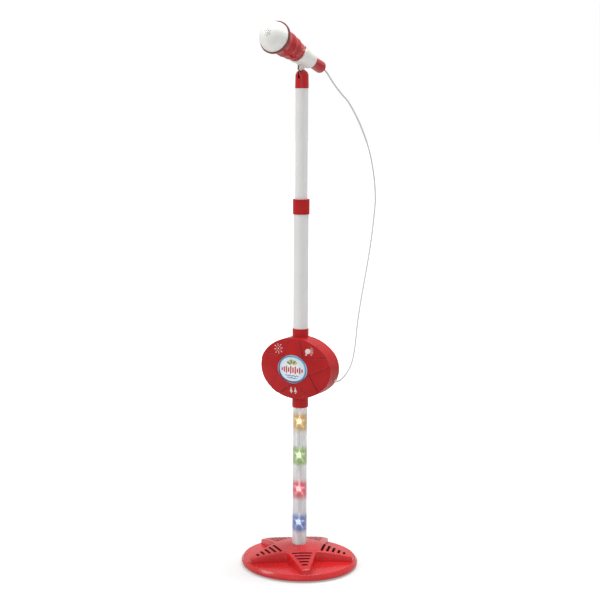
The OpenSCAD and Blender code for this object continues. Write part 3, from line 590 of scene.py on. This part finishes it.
def badge_label(name):
    """Printed label under a clear dome: white, with a blue border that is darker on one side."""
    f = Finish(name)
    axes = f.axes()
    x, z = axes["X"], axes["Z"]
    across = f.math("DIVIDE", f.math("ABSOLUTE", x), BADGE_A)
    over = f.math("DIVIDE", f.math("ABSOLUTE", f.math("SUBTRACT", z, BOX_Z)), BADGE_B)
    out = f.math("POWER", f.math("ADD", f.math("POWER", across, 2.15), f.math("POWER", over, 2.15)), 0.465)
    uneven = f.noise(600, 3)
    edge = f.math("ADD", out, f.math("MULTIPLY", f.math("SUBTRACT", uneven, 0.5), 0.012))
    rise = f.math("ADD", f.math("MULTIPLY", x, 0.6), f.math("SUBTRACT", z, BOX_Z))
    blue = f.mix(f.span(rise, -22 * MM, 22 * MM, 0, 1), srgb(24, 48, 118), srgb(96, 168, 206))
    white = f.mix(f.span(out, 0.2, 0.86, 0, 1), srgb(252, 253, 254), srgb(214, 234, 246))
    inner = f.mix(f.span(edge, 0.84, 0.87, 0, 1), white, blue)
    f.feed(Base_Color=f.mix(f.span(edge, 0.965, 0.985, 0, 1), inner, srgb(204, 222, 236)),
           Roughness=f.span(uneven, 0.3, 0.7, 0.2, 0.28))
    f.bump(f.noise(140, 3), 0.03 * MM)
    f.set(Coat_Weight=0.8, Coat_Roughness=0.05)
    return f.material


def ink(name, colour, rough=0.4):
    """Pad-printed ink, slightly uneven."""
    f = Finish(name)
    thin = f.noise(900, 4, 0.7)
    f.feed(Base_Color=f.mix(f.span(thin, 0.3, 0.75, 0, 1), toned(colour, 0.84), colour),
           Roughness=f.span(thin, 0.3, 0.7, rough - 0.06, rough + 0.1))
    f.bump(thin, 0.02 * MM)
    return f.material


BOX_RED = srgb(188, 24, 28)
MIC_RED = srgb(192, 22, 28)
BASE_RED = srgb(208, 30, 34)
RING_RED = srgb(128, 20, 28)
PALE = srgb(238, 238, 237)
WHITE = srgb(248, 248, 243)
FINE_GRAIN = 0.006 * MM

red_plastic = plastic("Red moulded plastic", BOX_RED, rough=0.36, pale=0.16, coat=0.06, mirror=0.22)
mic_plastic = plastic("Red handle plastic", MIC_RED, rough=0.22, edge=0, coat=0.1, mirror=0.3, depth=FINE_GRAIN)
base_plastic = plastic("Light red base plastic", BASE_RED, rough=0.26, edge=0, coat=0.3, mirror=0.4, depth=FINE_GRAIN)
# Painted shade: a dark red laid on the base's cut slot and cavity walls, where shade falls.
shaded_red = plastic("Deep red inside the slots", srgb(120, 14, 18), rough=0.6, pale=0.02, coat=0.0)
ring_plastic = plastic("Dark red plastic", RING_RED, rough=0.34)
white_plastic = plastic("White satin plastic", WHITE, rough=0.36, pale=0.3, coat=0.2)
dome_plastic = plastic("White dome plastic", WHITE, rough=0.3, edge=0, coat=0.3)
# Painted shade: a near-black grey for the walls of the dome's holes and the clip's parting, where shade falls inside.
hole_painted_shade = plastic("Dark inside the dome's holes", srgb(58, 62, 60), rough=0.8, edge=0.1 * MM, pale=0.0, coat=0.0)
grey_plastic = plastic("Grey nylon", srgb(140, 142, 145), rough=0.5, coat=0.0)
black_plastic = plastic("Black plastic", srgb(44, 44, 47), rough=0.5, coat=0.0)
pale_tube = tube_plastic("Pale extruded tube", PALE)
frosted_tube = lit_tube("Frosted tube")
cord_vinyl = soft_cord("White soft cord", srgb(214, 214, 212))
wire_vinyl = soft_cord("Red wire insulation", srgb(150, 48, 48))
foot_rubber = rubber("Foot rubber", srgb(52, 52, 55))
plated_steel = steel("Zinc-plated steel")
speaker_paper = plastic("Speaker paper", srgb(70, 70, 74), rough=0.7, coat=0.0, grain=700, depth=0.08 * MM)
green_board = board("Green circuit board", srgb(40, 98, 56), srgb(66, 132, 80))
white_board = board("White light strip", srgb(228, 226, 216), srgb(204, 200, 186))
lamp_chip = plastic("Lamp chips", srgb(246, 240, 200), rough=0.25)
cells = cell_wrap("Battery sleeves")
label = badge_label("Badge label")
pale_ink = ink("Pale print", srgb(240, 226, 220))
red_ink = ink("Red print", srgb(206, 44, 52))
blue_ink = ink("Blue print", srgb(42, 92, 178))
green_ink = ink("Green print", srgb(48, 152, 112))
yellow_ink = ink("Yellow print", srgb(232, 196, 84))
capsule_metal = steel("Capsule metal", (0.42, 0.43, 0.45, 1))

CARRIED = {
    "base_shell": base_plastic, "base_plate": ring_plastic, "rubber_feet": foot_rubber,
    "base_screws": plated_steel, "mast_screw": plated_steel, "case_screws": plated_steel,
    "board_screws": plated_steel, "door_screw": plated_steel, "battery_contacts": plated_steel,
    "pivot_pin": plated_steel, "light_tube": frosted_tube, "strip_foot": white_plastic,
    "strip_head": white_plastic, "led_strip": white_board, "led_chips": lamp_chip,
    "blue_star": lit_lens("Blue lens", LIGHT_Z[0], LIGHT_COLOURS[0]),
    "red_star": lit_lens("Red lens", LIGHT_Z[1], LIGHT_COLOURS[1]),
    "green_star": lit_lens("Green lens", LIGHT_Z[2], LIGHT_COLOURS[2]),
    "yellow_star": lit_lens("Yellow lens", LIGHT_Z[3], LIGHT_COLOURS[3]),
    "led_wires": wire_vinyl, "mic_lead": wire_vinyl, "front_shell": red_plastic,
    "rear_shell": red_plastic, "badge": label, "left_key": red_plastic, "right_key": red_plastic,
    "low_key": red_plastic, "circuit_board": green_board, "key_switches": black_plastic,
    "speaker": speaker_paper, "batteries": cells, "battery_door": red_plastic,
    "switch_body": black_plastic, "switch_knob": black_plastic, "box_strain_relief": white_plastic,
    "middle_tube": pale_tube, "grip_bush": grey_plastic, "lock_ring": red_plastic,
    "upper_tube": pale_tube, "tube_foot": grey_plastic, "top_cap": mic_plastic,
    "mic_clip": white_plastic, "mic_body": mic_plastic, "mic_ring": ring_plastic,
    "mic_grille": white_plastic, "mic_capsule": capsule_metal, "capsule_cup": white_plastic,
    "mic_tail": mic_plastic, "mic_strain_relief": white_plastic, "cord_top": cord_vinyl,
    "cord_middle": cord_vinyl, "cord_lower": cord_vinyl,
}


def dress_nodes():
    """Every node of the part gets its material."""
    for name, node in NODES.items():
        node.data.materials.clear()
        node.data.materials.append(CARRIED[name])


dress_nodes()

# ---------------------------------------------------------------- cord

CORD_ROUTE = [
    (0, 73, 878.7), (0, 79, 876.9), (3, 86, 870), (8, 91, 859), (15, 97, 846), (23, 104, 833),
    (31, 111, 821), (42, 122, 795), (53, 131, 763), (63, 136, 728), (70, 138, 689), (74, 136, 657),
    (75, 133, 634), (76, 119, 581), (77, 101, 533), (78, 81, 486), (81, 60, 441), (86, 40, 397),
    (86, 28, 371), (82, 18, 355), (75, 10, 344), (70, 8, 341),
]
CORD_CUTS = [0, 6, 10, 21]       # route points where one stretch ends and the next begins
CORD_STEPS = 6
CORD_SIDES = 16


def route_point(i):
    """A point of the route. Past an end, that end."""
    return Vector(CORD_ROUTE[max(0, min(len(CORD_ROUTE) - 1, i))]) * MM


def cord_line():
    """One smooth curve through all the route's points."""
    line = []
    for i in range(len(CORD_ROUTE) - 1):
        a, b, c, d = (route_point(i + k) for k in (-1, 0, 1, 2))
        for step in range(CORD_STEPS):
            t = step / CORD_STEPS
            slope, bend, twist = (c - a) / 2, (2 * a - 5 * b + 4 * c - d) / 2, (3 * b - a - 3 * c + d) / 2
            line.append(b + t * (slope + t * (bend + t * twist)))
    return line + [route_point(len(CORD_ROUTE) - 1)]


def cord_piece(name, line, first, last, node, bodies):
    """One stretch: a ring of points round the line at each step, skinned and closed at both ends."""
    path = line[first:last + 1]
    verts, faces = [], []
    side = Vector((-0.5, 0.7, 0.5))
    for i in range(first, last + 1):
        ahead = (line[min(i + 1, len(line) - 1)] - line[max(i - 1, 0)]).normalized()
        across = ahead.cross(side).normalized()
        along = ahead.cross(across)
        for k in range(CORD_SIDES):
            a = 2 * math.pi * k / CORD_SIDES
            verts.append(line[i] + CORD_D / 2 * (math.cos(a) * across + math.sin(a) * along))
    rows = last - first
    for i in range(rows):
        for k in range(CORD_SIDES):
            a, b = i * CORD_SIDES + k, i * CORD_SIDES + (k + 1) % CORD_SIDES
            faces.append((a, b, b + CORD_SIDES, a + CORD_SIDES))
    faces.append(tuple(range(CORD_SIDES - 1, -1, -1)))
    faces.append(tuple(rows * CORD_SIDES + k for k in range(CORD_SIDES)))
    mesh = bpy.data.meshes.new(name)
    mesh.from_pydata(verts, [], faces)
    piece = bpy.data.objects.new(name, mesh)
    bpy.context.scene.collection.objects.link(piece)
    outward(piece)
    smooth(piece, 50)
    piece.data.materials.append(cord_vinyl)
    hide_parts(node)
    length = sum((b - a).length for a, b in zip(path, path[1:]))
    tuple(path[0])
    [tuple(p) for p in path]
    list(bodies)
    tuple(path[0])
    tuple(path[-1])
    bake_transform(piece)
    return piece


STRETCHES = [
    ("cord_at_microphone", "cord_top", ("microphone", "clip")),
    ("cord_bow", "cord_middle", ("clip", "mast")),
    ("cord_to_box", "cord_lower", ("mast", "stand")),
]


def add_cord():
    """Three stretches, each joined to the next."""
    line = cord_line()
    cuts = [c * CORD_STEPS for c in CORD_CUTS]
    for (name, node, bodies), first, last in zip(STRETCHES, cuts, cuts[1:]):
        cord_piece(name, line, first, last, node, bodies)


add_cord()

# ---------------------------------------------------------------- base


def crown_height(radius):
    """How high the star's arched top lies, from the hub out to a tip."""
    hub, tip = Vector((TUBE_SEAT_R, HUB_Z)), Vector((TIP_R, TIP_Z))
    chord = (tip - hub).length
    arch = chord * chord / (8 * STAR_SAG) + STAR_SAG / 2
    down = Vector((tip.y - hub.y, hub.x - tip.x)) / chord
    middle = (hub + tip) / 2 + down * (arch - STAR_SAG)
    inside_seat = 10 * MM
    return middle.y + math.sqrt(arch ** 2 - (max(radius, inside_seat) - middle.x) ** 2)


def arm_edge():
    """Half an arm's width at the middle of the base, and how it changes outwards."""
    half_turn = math.radians(ARM_TURN / 2)
    in_x, in_y = VALLEY_R * math.cos(half_turn), VALLEY_R * math.sin(half_turn)
    slope = (TIP_W / 2 - in_y) / (TIP_R - in_x)
    return in_y - slope * in_x, slope


def arm_way(arm):
    """The turn from +X to an arm of the base's star."""
    return Matrix.Rotation(math.radians(90 + ARM_TURN * arm), 4, "Z")


STAR_LOW = 8 * MM                # where the raised plan starts, and its top before it is arched
STAR_TOP = 46 * MM
STAR_DRAFT = 0.04 / (STAR_TOP - STAR_LOW)
STAR_EDGE = 2 * MM
ARCH_STEP = 6 * MM               # the top is divided so finely before it is arched


def add_star():
    """The star is raised flat from its plan, with rounded edges, and its top is then arched down to the tips."""
    half, slope = arm_edge()
    point = -half / slope
    clear_selection()
    bpy.ops.mesh.primitive_circle_add(vertices=10, radius=point, fill_type="NGON", location=(0, 0, STAR_LOW))
    star = into_mesh(named("star"))
    edit(star)
    pick(star, verts=lambda co: round((math.degrees(math.atan2(co.y, co.x)) - 90) / (ARM_TURN / 2)) % 2 == 1)
    bpy.ops.transform.resize(value=(VALLEY_R / point, VALLEY_R / point, 1), center_override=(0, 0, STAR_LOW))
    bpy.ops.mesh.select_all(action="SELECT")
    bpy.ops.mesh.extrude_region_move(TRANSFORM_OT_translate={"value": (0, 0, STAR_TOP - STAR_LOW)})
    done()
    outward(star)
    ways = [arm_way(arm).to_3x3() @ Vector((1, 0, 0)) for arm in range(ARMS)]
    for out in ways:
        edit(star)
        bpy.ops.mesh.bisect(plane_co=out * TIP_R, plane_no=out, use_fill=True, clear_outer=True)
        done()
    edit(star)
    pick(star, edges=lambda a, b: min(a.z, b.z) > STAR_TOP - 1 * MM or abs(a.z - b.z) > 1 * MM)
    bpy.ops.mesh.bevel(offset=STAR_EDGE, segments=5, affect="EDGES", clamp_overlap=False)
    for out in ways:
        for i in range(1, math.ceil(TIP_R / ARCH_STEP) - 1):
            bpy.ops.mesh.select_all(action="SELECT")
            bpy.ops.mesh.bisect(plane_co=out * ARCH_STEP * i, plane_no=out)
    done()
    for v in star.data.vertices:
        if v.co.z > STAR_TOP - 2 * STAR_EDGE:
            v.co.z += crown_height(v.co.xy.length) - STAR_TOP
        v.co.xy *= 1 - STAR_DRAFT * (v.co.z - STAR_LOW)
    return outward(star)


def base_slots():
    """Five slots across each arm, with soft corners, shorter towards the tip."""
    start, slope = arm_edge()
    cutters = []
    for arm in range(ARMS):
        for i in range(5):
            r = SLOT_START + SLOT_PITCH * i
            half = start + slope * r - SLOT_INSET
            slot = block("slot", (SLOT_WIDTH, 2 * half, 34 * MM), (r, 0, 28 * MM))
            soften(slot, 0.9 * MM, 2)
            slot.matrix_world = arm_way(arm)
            cutters.append(into_mesh(slot))
    return joined("slots", cutters)


def add_base():
    """Disc and star in one, hollow below, with the tube's seat, the slots and the way for the tube's screw."""
    shoulder = arc((BASE_R - RIM_R, PANEL_Z - 1.2 * MM), 1.2 * MM, 0, 58, 4)
    skirt = arc((BASE_R - 2 * MM, PANEL_Z - RIM_R - 1.4 * MM), 2 * MM, 60, 100, 4)
    panel = [(POLE, PANEL_Z + PANEL_RISE), (VALLEY_R, PANEL_Z + PANEL_RISE)]
    low = [(BASE_R - 1.2 * MM, BASE_LOW_Z), (POLE, BASE_LOW_Z)]
    disc = turned("base", panel + shoulder + skirt + low, sides=160, closed=False)
    base = combine(disc, add_star(), "UNION")
    base.data.materials.clear()
    base.data.materials.append(base_plastic)
    seat = turned("seat", [(POLE, 12 * MM), (TUBE_SEAT_R, 12 * MM), (TUBE_SEAT_R, 60 * MM), (POLE, 60 * MM)],
                  sides=64, closed=False)
    base = combine(base, seat, "DIFFERENCE")
    cavity = turned("cavity", [at(20, 2), at(96.8, 2), at(96.8, 5.1), at(92, 5.1), at(92, 10.5), at(20, 12)], sides=120)
    # The cavity's and the slots' cut walls take the painted shade.
    base = combine(base, cavity, "DIFFERENCE", shaded_red)
    base = combine(base, base_slots(), "DIFFERENCE", shaded_red)
    screw_way = rod("screw_way", 2.05 * MM, (0, 0, 1 * MM), (0, 0, 13 * MM))
    base = combine(base, screw_way, "DIFFERENCE")
    base.name = "star_base"
    finished(smooth(base, 28), "stand", None, ["base_shell"])


add_base()

# ---------------------------------------------------------------- dishes behind the lights


def add_dishes():
    """Behind each star a shallow oval dish with a hole for its lamp chip."""
    rings = [at(2.7, -0.25), at(2.9, 0.1), at(7, 0.05), at(10.6, -0.35), at(10.9, -0.3), at(10.9, 0.1), at(10.5, 0.2),
             at(7, 0.45), at(2.9, 0.5), at(2.7, 0.4)]
    upright_oval = Matrix.Rotation(math.pi / 2, 4, "X") @ Matrix.Diagonal((1, 1.5, 1, 1))
    for height, tint, colour in zip(LIGHT_Z, LIGHT_COLOURS, ("blue", "red", "green", "yellow")):
        dish = turned(colour + "_dish", rings, sides=64)
        dish.matrix_world = Matrix.Translation((0, -1.15 * MM, height)) @ upright_oval
        finished(smooth(into_mesh(dish), 40), "stand",
                 lit_dish(colour.title() + " dish", height, tint))


add_dishes()

# ---------------------------------------------------------------- microphone, made upright and then laid on its axis


def lay_on_axis(piece):
    """A piece made upright, with its origin at the clip, is laid on the microphone's axis."""
    piece.matrix_world = Matrix.Translation((0, 0, MIC_Z)) @ Matrix.Rotation(MIC_LEAN, 4, "X")
    return into_mesh(piece)


def groove(radius, middle, width, depth):
    """Points of a round-bottomed groove in a profile that runs upwards, in millimetres."""
    half = width / 2
    steps = ((0, -1), (0.7, -0.72), (1, -0.3), (1, 0.3), (0.7, 0.72), (0, 1))
    return [at(radius - depth * deep, middle + half * along) for deep, along in steps]


def add_handle():
    """The hollow handle: a long cone, a neck with two grooves, a thicker grip with three, and the flare."""
    outer = [at(11.6, -26), at(13.0, -26), at(13.25, -25.4), at(17.5, 36.2), at(17.7, 36.9), at(19.2, 37.1),
             at(19.6, 37.6)]
    outer += groove(19.72, 43, 1.6, 0.9) + groove(19.9, 49, 1.6, 0.9)
    outer += [at(20.1, 54.4), at(20.4, 55.0), at(21.3, 56.4), at(21.6, 57.0)]
    for s in (61.5, 66.5, 71.5):
        outer += groove(21.6, s + 0.8, 1.9, 1.0)
    outer += [at(21.6, 76.4), at(21.8, 77.2), at(23.4, 82), at(26.3, 91), at(26.7, 91.7), at(26.4, 92)]
    inner = [at(23.4, 92), at(23.4, 86), at(19.8, 76), at(18.2, 56), at(17.6, 39), at(15.9, 36), at(11.6, -24)]
    handle = turned("handle", outer + inner, sides=128)
    finished(smooth(lay_on_axis(handle), 40), "microphone", mic_plastic, ["mic_body"])


def add_tail():
    """The hollow tail cap, with the spigot that stands in the handle."""
    outer = [at(2.5, -70), at(7.8, -70)]
    outer += arc((7.8 * MM, -67 * MM), 3 * MM, 180, 90, 6)[1:]
    outer += [at(10.4, -46), at(10.5, -43.5), at(11.8, -28), at(12.0, -26.6), at(11.8, -26.1)]
    inner = [at(8.6, -26.1), at(8.6, -66), at(2.5, -66)]
    tail = turned("tail_cap", outer + inner, sides=96)
    spigot = turned("spigot", [at(8.6, -27), at(11.5, -27), at(11.5, -18.4), at(11.1, -18), at(8.6, -18)], sides=96)
    tail = joined("tail_cap", [tail, spigot])
    finished(smooth(lay_on_axis(tail), 40), "microphone", mic_plastic, ["mic_tail"])


def add_clip():
    """The clip's own solid, with a parting cut down the front of the tab that stands in the cap, its walls painted dark
    as shade.
    """
    clip = NODES["mic_clip"].copy()
    clip.data = NODES["mic_clip"].data.copy()
    bpy.context.scene.collection.objects.link(clip)
    into_mesh(clip)
    clip.name = "clip"
    outward(clip)
    parting = block("parting", (1.9 * MM, 12 * MM, 30 * MM), (0, -TAB_DEEP - 3 * MM, PIVOT_Z))
    clip = combine(clip, parting, "DIFFERENCE", hole_painted_shade)
    finished(smooth(clip, 30), "clip", None, ["mic_clip"])


DOME_FOOT = 25.6                 # the dome's radius at its foot, its rise and where it stands, in millimetres
DOME_RISE = 25
DOME_LOW = 94.1
DOME_RIM = DOME_LOW + 3
DOME_WALL = 1.6
HOLE_R = 0.8 * MM


def add_head():
    """The dark ring, and the white dome in it with thirteen small holes at its top."""
    ring = turned("head_ring", [at(23.4, 92.1), at(27.2, 92.1), at(27.5, 92.5), at(28.0, 96.3), at(27.8, 96.9),
                                at(27.4, 97.1), at(25.75, 97.1), at(25.75, 94), at(23.4, 94)], sides=128)
    finished(smooth(lay_on_axis(ring), 40), "microphone", ring_plastic, ["mic_ring"])
    dome_r = (DOME_FOOT ** 2 + DOME_RISE ** 2) / (2 * DOME_RISE)
    middle = DOME_RIM + DOME_RISE - dome_r
    foot = math.degrees(math.acos((DOME_RIM - middle) / dome_r))
    outer = [at(23.9, DOME_LOW), at(DOME_FOOT, DOME_LOW), at(DOME_FOOT, 96.9)]
    outer += [(max(x, POLE), z) for x, z in arc((0, middle * MM), dome_r * MM, foot - 1, 0, 22)]
    inner = [(max(x, POLE), z) for x, z in arc((0, middle * MM), (dome_r - DOME_WALL) * MM, 0, foot - 2, 18)]
    dome = turned("dome", outer + inner, sides=96)
    spots = [(0, 0)]
    for reach, turn in ((3.2 * MM, 0), (5.6 * MM, 30)):
        for i in range(6):
            a = math.radians(turn + 60 * i)
            spots.append((reach * math.cos(a), reach * math.sin(a)))
    holes = [rod("hole", HOLE_R, (x, y, 100 * MM), (x, y, 130 * MM), 12) for x, y in spots]
    dome.data.materials.clear()
    dome.data.materials.append(dome_plastic)
    # The holes' walls take the painted shade.
    dome = combine(dome, joined("holes", holes), "DIFFERENCE", hole_painted_shade)
    finished(smooth(lay_on_axis(dome), 40), "microphone", None, ["mic_grille"])


add_handle()
add_tail()
add_clip()
add_head()

# ---------------------------------------------------------------- box front: ridges and prints that follow its curve


def face_depth(x, z, lift):
    """The face's y at a place on it, lift outside its star's surface."""
    radius = FACE_R + lift
    return -(FACE_APEX - FACE_R + math.sqrt(radius ** 2 - x * x - (z - BOX_Z) ** 2))


def press_on_face(piece, lift):
    """A flat piece made in x and z, with its thickness along y, is bent onto the box's face."""
    for v in piece.data.vertices:
        v.co.y = face_depth(v.co.x, v.co.z, lift - v.co.y)
    return piece


def bar(name, start, end, width, height, along=10):
    """A flat bar with soft edges from start to end, points in x and z, divided so that it can bend."""
    start, end = Vector((start[0], 0, start[1])), Vector((end[0], 0, end[1]))
    length = (end - start).length
    piece = block(name, (length, height, width), (0, 0, 0))
    soften(piece, min(height, width) * 0.45, 2)
    edit(piece)
    for i in range(1, along):
        bpy.ops.mesh.select_all(action="SELECT")
        bpy.ops.mesh.bisect(plane_co=(length * (i / along - 0.5), 0, 0), plane_no=(1, 0, 0))
    done()
    turn = -math.atan2((end - start).z, (end - start).x)
    piece.matrix_world = Matrix.Translation((start + end) / 2) @ Matrix.Rotation(turn, 4, "Y")
    return into_mesh(piece)


def dot(name, middle, radius, height, stretch=1.0):
    """A flat round spot with a soft edge."""
    clear_selection()
    bpy.ops.mesh.primitive_cylinder_add(vertices=28, radius=radius, depth=height, location=(middle[0], 0, middle[1]),
                                        rotation=(math.pi / 2, 0, 0))
    spot = into_mesh(named(name))
    edit(spot)
    bpy.ops.transform.resize(value=(1, 1, stretch), center_override=(middle[0], 0, middle[1]))
    done()
    return soften(spot, height * 0.4, 2)


def face_star_edges():
    """The star's ten long edges, from each valley out to the tips, in x and z from the box's middle."""
    reach, width, valley = 56 * MM, 11 * MM, 24.5 * MM
    half_turn = math.radians(ARM_TURN / 2)
    inner_x = valley * math.cos(half_turn)
    slope = (width / 2 - valley * math.sin(half_turn)) / (reach - inner_x)
    start = valley * math.sin(half_turn) - slope * inner_x
    for arm in range(ARMS):
        turn = math.radians(90 + ARM_TURN * arm)
        for side in (-1, 1):
            yield [
                ((x * math.cos(turn) - y * math.sin(turn)) * BOX_STRETCH, x * math.sin(turn) + y * math.cos(turn))
                for x, y in ((x, side * (start + slope * x)) for x in (inner_x, reach))
            ]


def inside_oval(x, z, inset):
    """True where a point, from the box's middle, lies inside its oval outline."""
    a, b, r = 69.5 * MM - inset, 54 * MM - inset, 44 * MM - inset
    long_r = ((a - r) ** 2 + b * b - r * r) / (2 * (b - r))
    x, z = abs(x), abs(z)
    half = math.atan((a - r) / (long_r - b))
    if math.atan2(x, z + long_r - b) <= half:
        return math.hypot(x, z + long_r - b) <= long_r
    return math.hypot(x - (a - r), z) <= r


def add_face_ridges():
    """A fine raised line along each edge of the star, cut off just inside the box's outline."""
    ridges = []
    for (x0, z0), (x1, z1) in face_star_edges():
        share = 1.0
        while not inside_oval(x0 + (x1 - x0) * share, z0 + (z1 - z0) * share, 1.6 * MM):
            share -= 0.01
        end = (x0 + (x1 - x0) * share, BOX_Z + z0 + (z1 - z0) * share)
        ridges.append(press_on_face(bar("ridge", (x0, BOX_Z + z0), end, 1.1 * MM, 0.7 * MM, 14), 0.1 * MM))
    finished(smooth(joined("face_ridges", ridges), 40), "stand", red_plastic)


def print_piece(name, parts, body, lift, material):
    """Thin flat marks, bent onto the face and joined into one piece."""
    for part in parts:
        press_on_face(part, lift)
    finished(smooth(joined(name, parts), 40), body, material)


PRINT_T = 0.24 * MM
KEY_LIFT = -STAR_STEP + 0.08 * MM
BADGE_LIFT = STAR_STEP + 0.06 * MM


def spot_at(middle, turn, reach):
    """The point so far from the middle, at an angle from +X."""
    return (middle[0] + reach * math.cos(math.radians(turn)), middle[1] + reach * math.sin(math.radians(turn)))


def stroke(start, end, width, along):
    """A printed bar."""
    return bar("print", start, end, width * MM, PRINT_T, along)


def spot(middle, radius, stretch=1.0):
    """A printed dot."""
    return dot("print", middle, radius * MM, PRINT_T, stretch)


def add_key_prints():
    """A pale picture on each effect key: a sparkle, a speech bubble with sound, and a pair of bells."""
    sparkle = (-31 * MM, BOX_Z + 33 * MM)
    parts = [spot(sparkle, 1.2)]
    for i in range(8):
        near, far = (3.4 * MM, 5.4 * MM) if i % 2 else (4.6 * MM, 9.0 * MM)
        turn = 45 * i + 12
        parts.append(stroke(spot_at(sparkle, turn, near), spot_at(sparkle, turn, far), 1.2, 4))
        if i % 2:
            parts.append(spot(spot_at(sparkle, turn, 8.4 * MM), 1.1))
    print_piece("sparkle_print", parts, "left_button", KEY_LIFT, pale_ink)

    bubble = (28 * MM, BOX_Z + 33.5 * MM)
    x, z = bubble
    parts = [spot(bubble, 5.2, 0.86), stroke((x - 1.5 * MM, z - 3 * MM), (x - 3.6 * MM, z - 7.6 * MM), 2.2, 4)]
    for reach in (7.0 * MM, 9.2 * MM):
        for turn in (-38, -12, 14, 40):
            parts.append(stroke(spot_at(bubble, turn - 9, reach), spot_at(bubble, turn + 9, reach), 0.9, 3))
    print_piece("bubble_print", parts, "right_button", KEY_LIFT, pale_ink)

    low = BOX_Z - 38 * MM
    parts = []
    for x in (-4.2 * MM, 4.2 * MM):
        for i, width in enumerate((2.0, 3.0, 4.0, 5.2)):
            half, z = width / 2 * MM, low + (2.6 - 1.7 * i) * MM
            parts.append(stroke((x - half, z), (x + half, z), 1.75, 3))
        parts.append(spot((x, low - 5.0 * MM), 1.0))
        parts.append(spot((x, low + 4.6 * MM), 0.9))
    print_piece("bells_print", parts, "low_button", KEY_LIFT, pale_ink)


def add_badge_prints():
    """On the badge: a row of level bars, a fan of leaf shapes above it and two waves below."""
    bars = []
    for i, height in enumerate((5.0, 9.0, 12.4, 8.2, 13.6, 9.6, 13.0, 7.0, 11.0, 5.6)):
        x, middle, half = (-19.8 + 4.4 * i) * MM, BOX_Z - 1.0 * MM, height / 2 * MM
        bars.append(stroke((x, middle - half), (x, middle + half), 2.6, 4))
    print_piece("level_print", bars, "stand", BADGE_LIFT, red_ink)
    foot = BOX_Z + 7.4 * MM
    for name, material, turns in (("fan_green", green_ink, (54, 102, 150)), ("fan_yellow", yellow_ink, (30, 78, 126))):
        leaves = []
        for a in (math.radians(turn) for turn in turns):
            start = (3.0 * MM * math.cos(a), foot + 2.4 * MM * math.sin(a))
            end = (11.5 * MM * math.cos(a), foot + 10.0 * MM * math.sin(a))
            leaves.append(stroke(start, end, 3.0, 4))
        print_piece(name, leaves, "stand", BADGE_LIFT, material)
    waves = []
    for row, reach in ((-11.4, 13), (-15.2, 9)):
        crests = [((i - reach) * MM, BOX_Z + (row + 0.7 * math.sin(i * 0.9)) * MM) for i in range(2 * reach + 1)]
        waves += [stroke(a, b, 1.2, 2) for a, b in zip(crests, crests[1:])]
    print_piece("wave_print", waves, "stand", BADGE_LIFT, blue_ink)


add_face_ridges()
add_key_prints()
add_badge_prints()

# ---------------------------------------------------------------- floor, backdrop and light

NEAR_FLOOR_GLOW = 0.3            # what the eye alone sees of the floor's own white, near the base and far off
FAR_FLOOR_GLOW = 1.0
SKY_LIGHT = 0.6                  # what the backdrop gives to the object; the eye sees it at 1


def add_room():
    """A white floor that keeps the object's shadow, and a white backdrop."""
    clear_selection()
    bpy.ops.mesh.primitive_plane_add(size=30, location=(0, 0, 0))
    floor = named("floor")
    f = Finish("White floor")
    f.set(Base_Color=(0.6, 0.6, 0.6, 1), Roughness=0.8, Specular_IOR_Level=0.05)
    away = f.add("VectorMath", operation="LENGTH")
    f.join(f.place, away.inputs[0])
    level = f.span(away.outputs["Value"], 0.1, 0.7, NEAR_FLOOR_GLOW, FAR_FLOOR_GLOW, "SMOOTHSTEP")
    seen = f.add("LightPath")
    glow = f.add("Emission")
    glow.inputs["Color"].default_value = (1, 1, 1, 1)
    looks = f.math("MAXIMUM", seen.outputs["Is Camera Ray"], seen.outputs["Is Transmission Ray"])
    f.join(f.math("MULTIPLY", looks, level), glow.inputs["Strength"])
    both = f.add("AddShader")
    f.join(f.surface.outputs[0], both.inputs[0]).join(glow.outputs[0], both.inputs[1])
    f.join(both.outputs[0], f.out.inputs["Surface"])
    floor.data.materials.append(f.material)

    world = bpy.data.worlds.new("Studio")
    bpy.context.scene.world = world
    world.use_nodes = True
    nodes, links = world.node_tree.nodes, world.node_tree.links
    sky = nodes["Background"]
    sky.inputs["Color"].default_value = (1, 1, 1, 1)
    path = nodes.new("ShaderNodeLightPath")
    strength = nodes.new("ShaderNodeMapRange")
    strength.inputs["To Min"].default_value = SKY_LIGHT
    strength.inputs["To Max"].default_value = 1.0
    links.new(path.outputs["Is Camera Ray"], strength.inputs["Value"])
    links.new(strength.outputs["Result"], sky.inputs["Strength"])


def add_lamp(name, place, aim, size, power):
    """A round soft lamp, aimed at a point."""
    data = bpy.data.lights.new(name, "AREA")
    data.shape, data.size, data.energy = "DISK", size, power
    lamp = bpy.data.objects.new(name, data)
    bpy.context.scene.collection.objects.link(lamp)
    lamp.location = place
    lamp.rotation_euler = (Vector(aim) - Vector(place)).to_track_quat("-Z", "Y").to_euler()


add_room()
add_lamp("Key lamp", (-1.9, -1.5, 2.3), (0, 0, 0.5), 1.3, 26)
add_lamp("Front lamp", (0.9, -2.8, 1.5), (0, 0, 0.6), 1.6, 7)
add_lamp("Top lamp", (0.3, 0.5, 3.0), (0, 0, 0.2), 1.3, 56)
bpy.context.scene.view_settings.view_transform = "Standard"
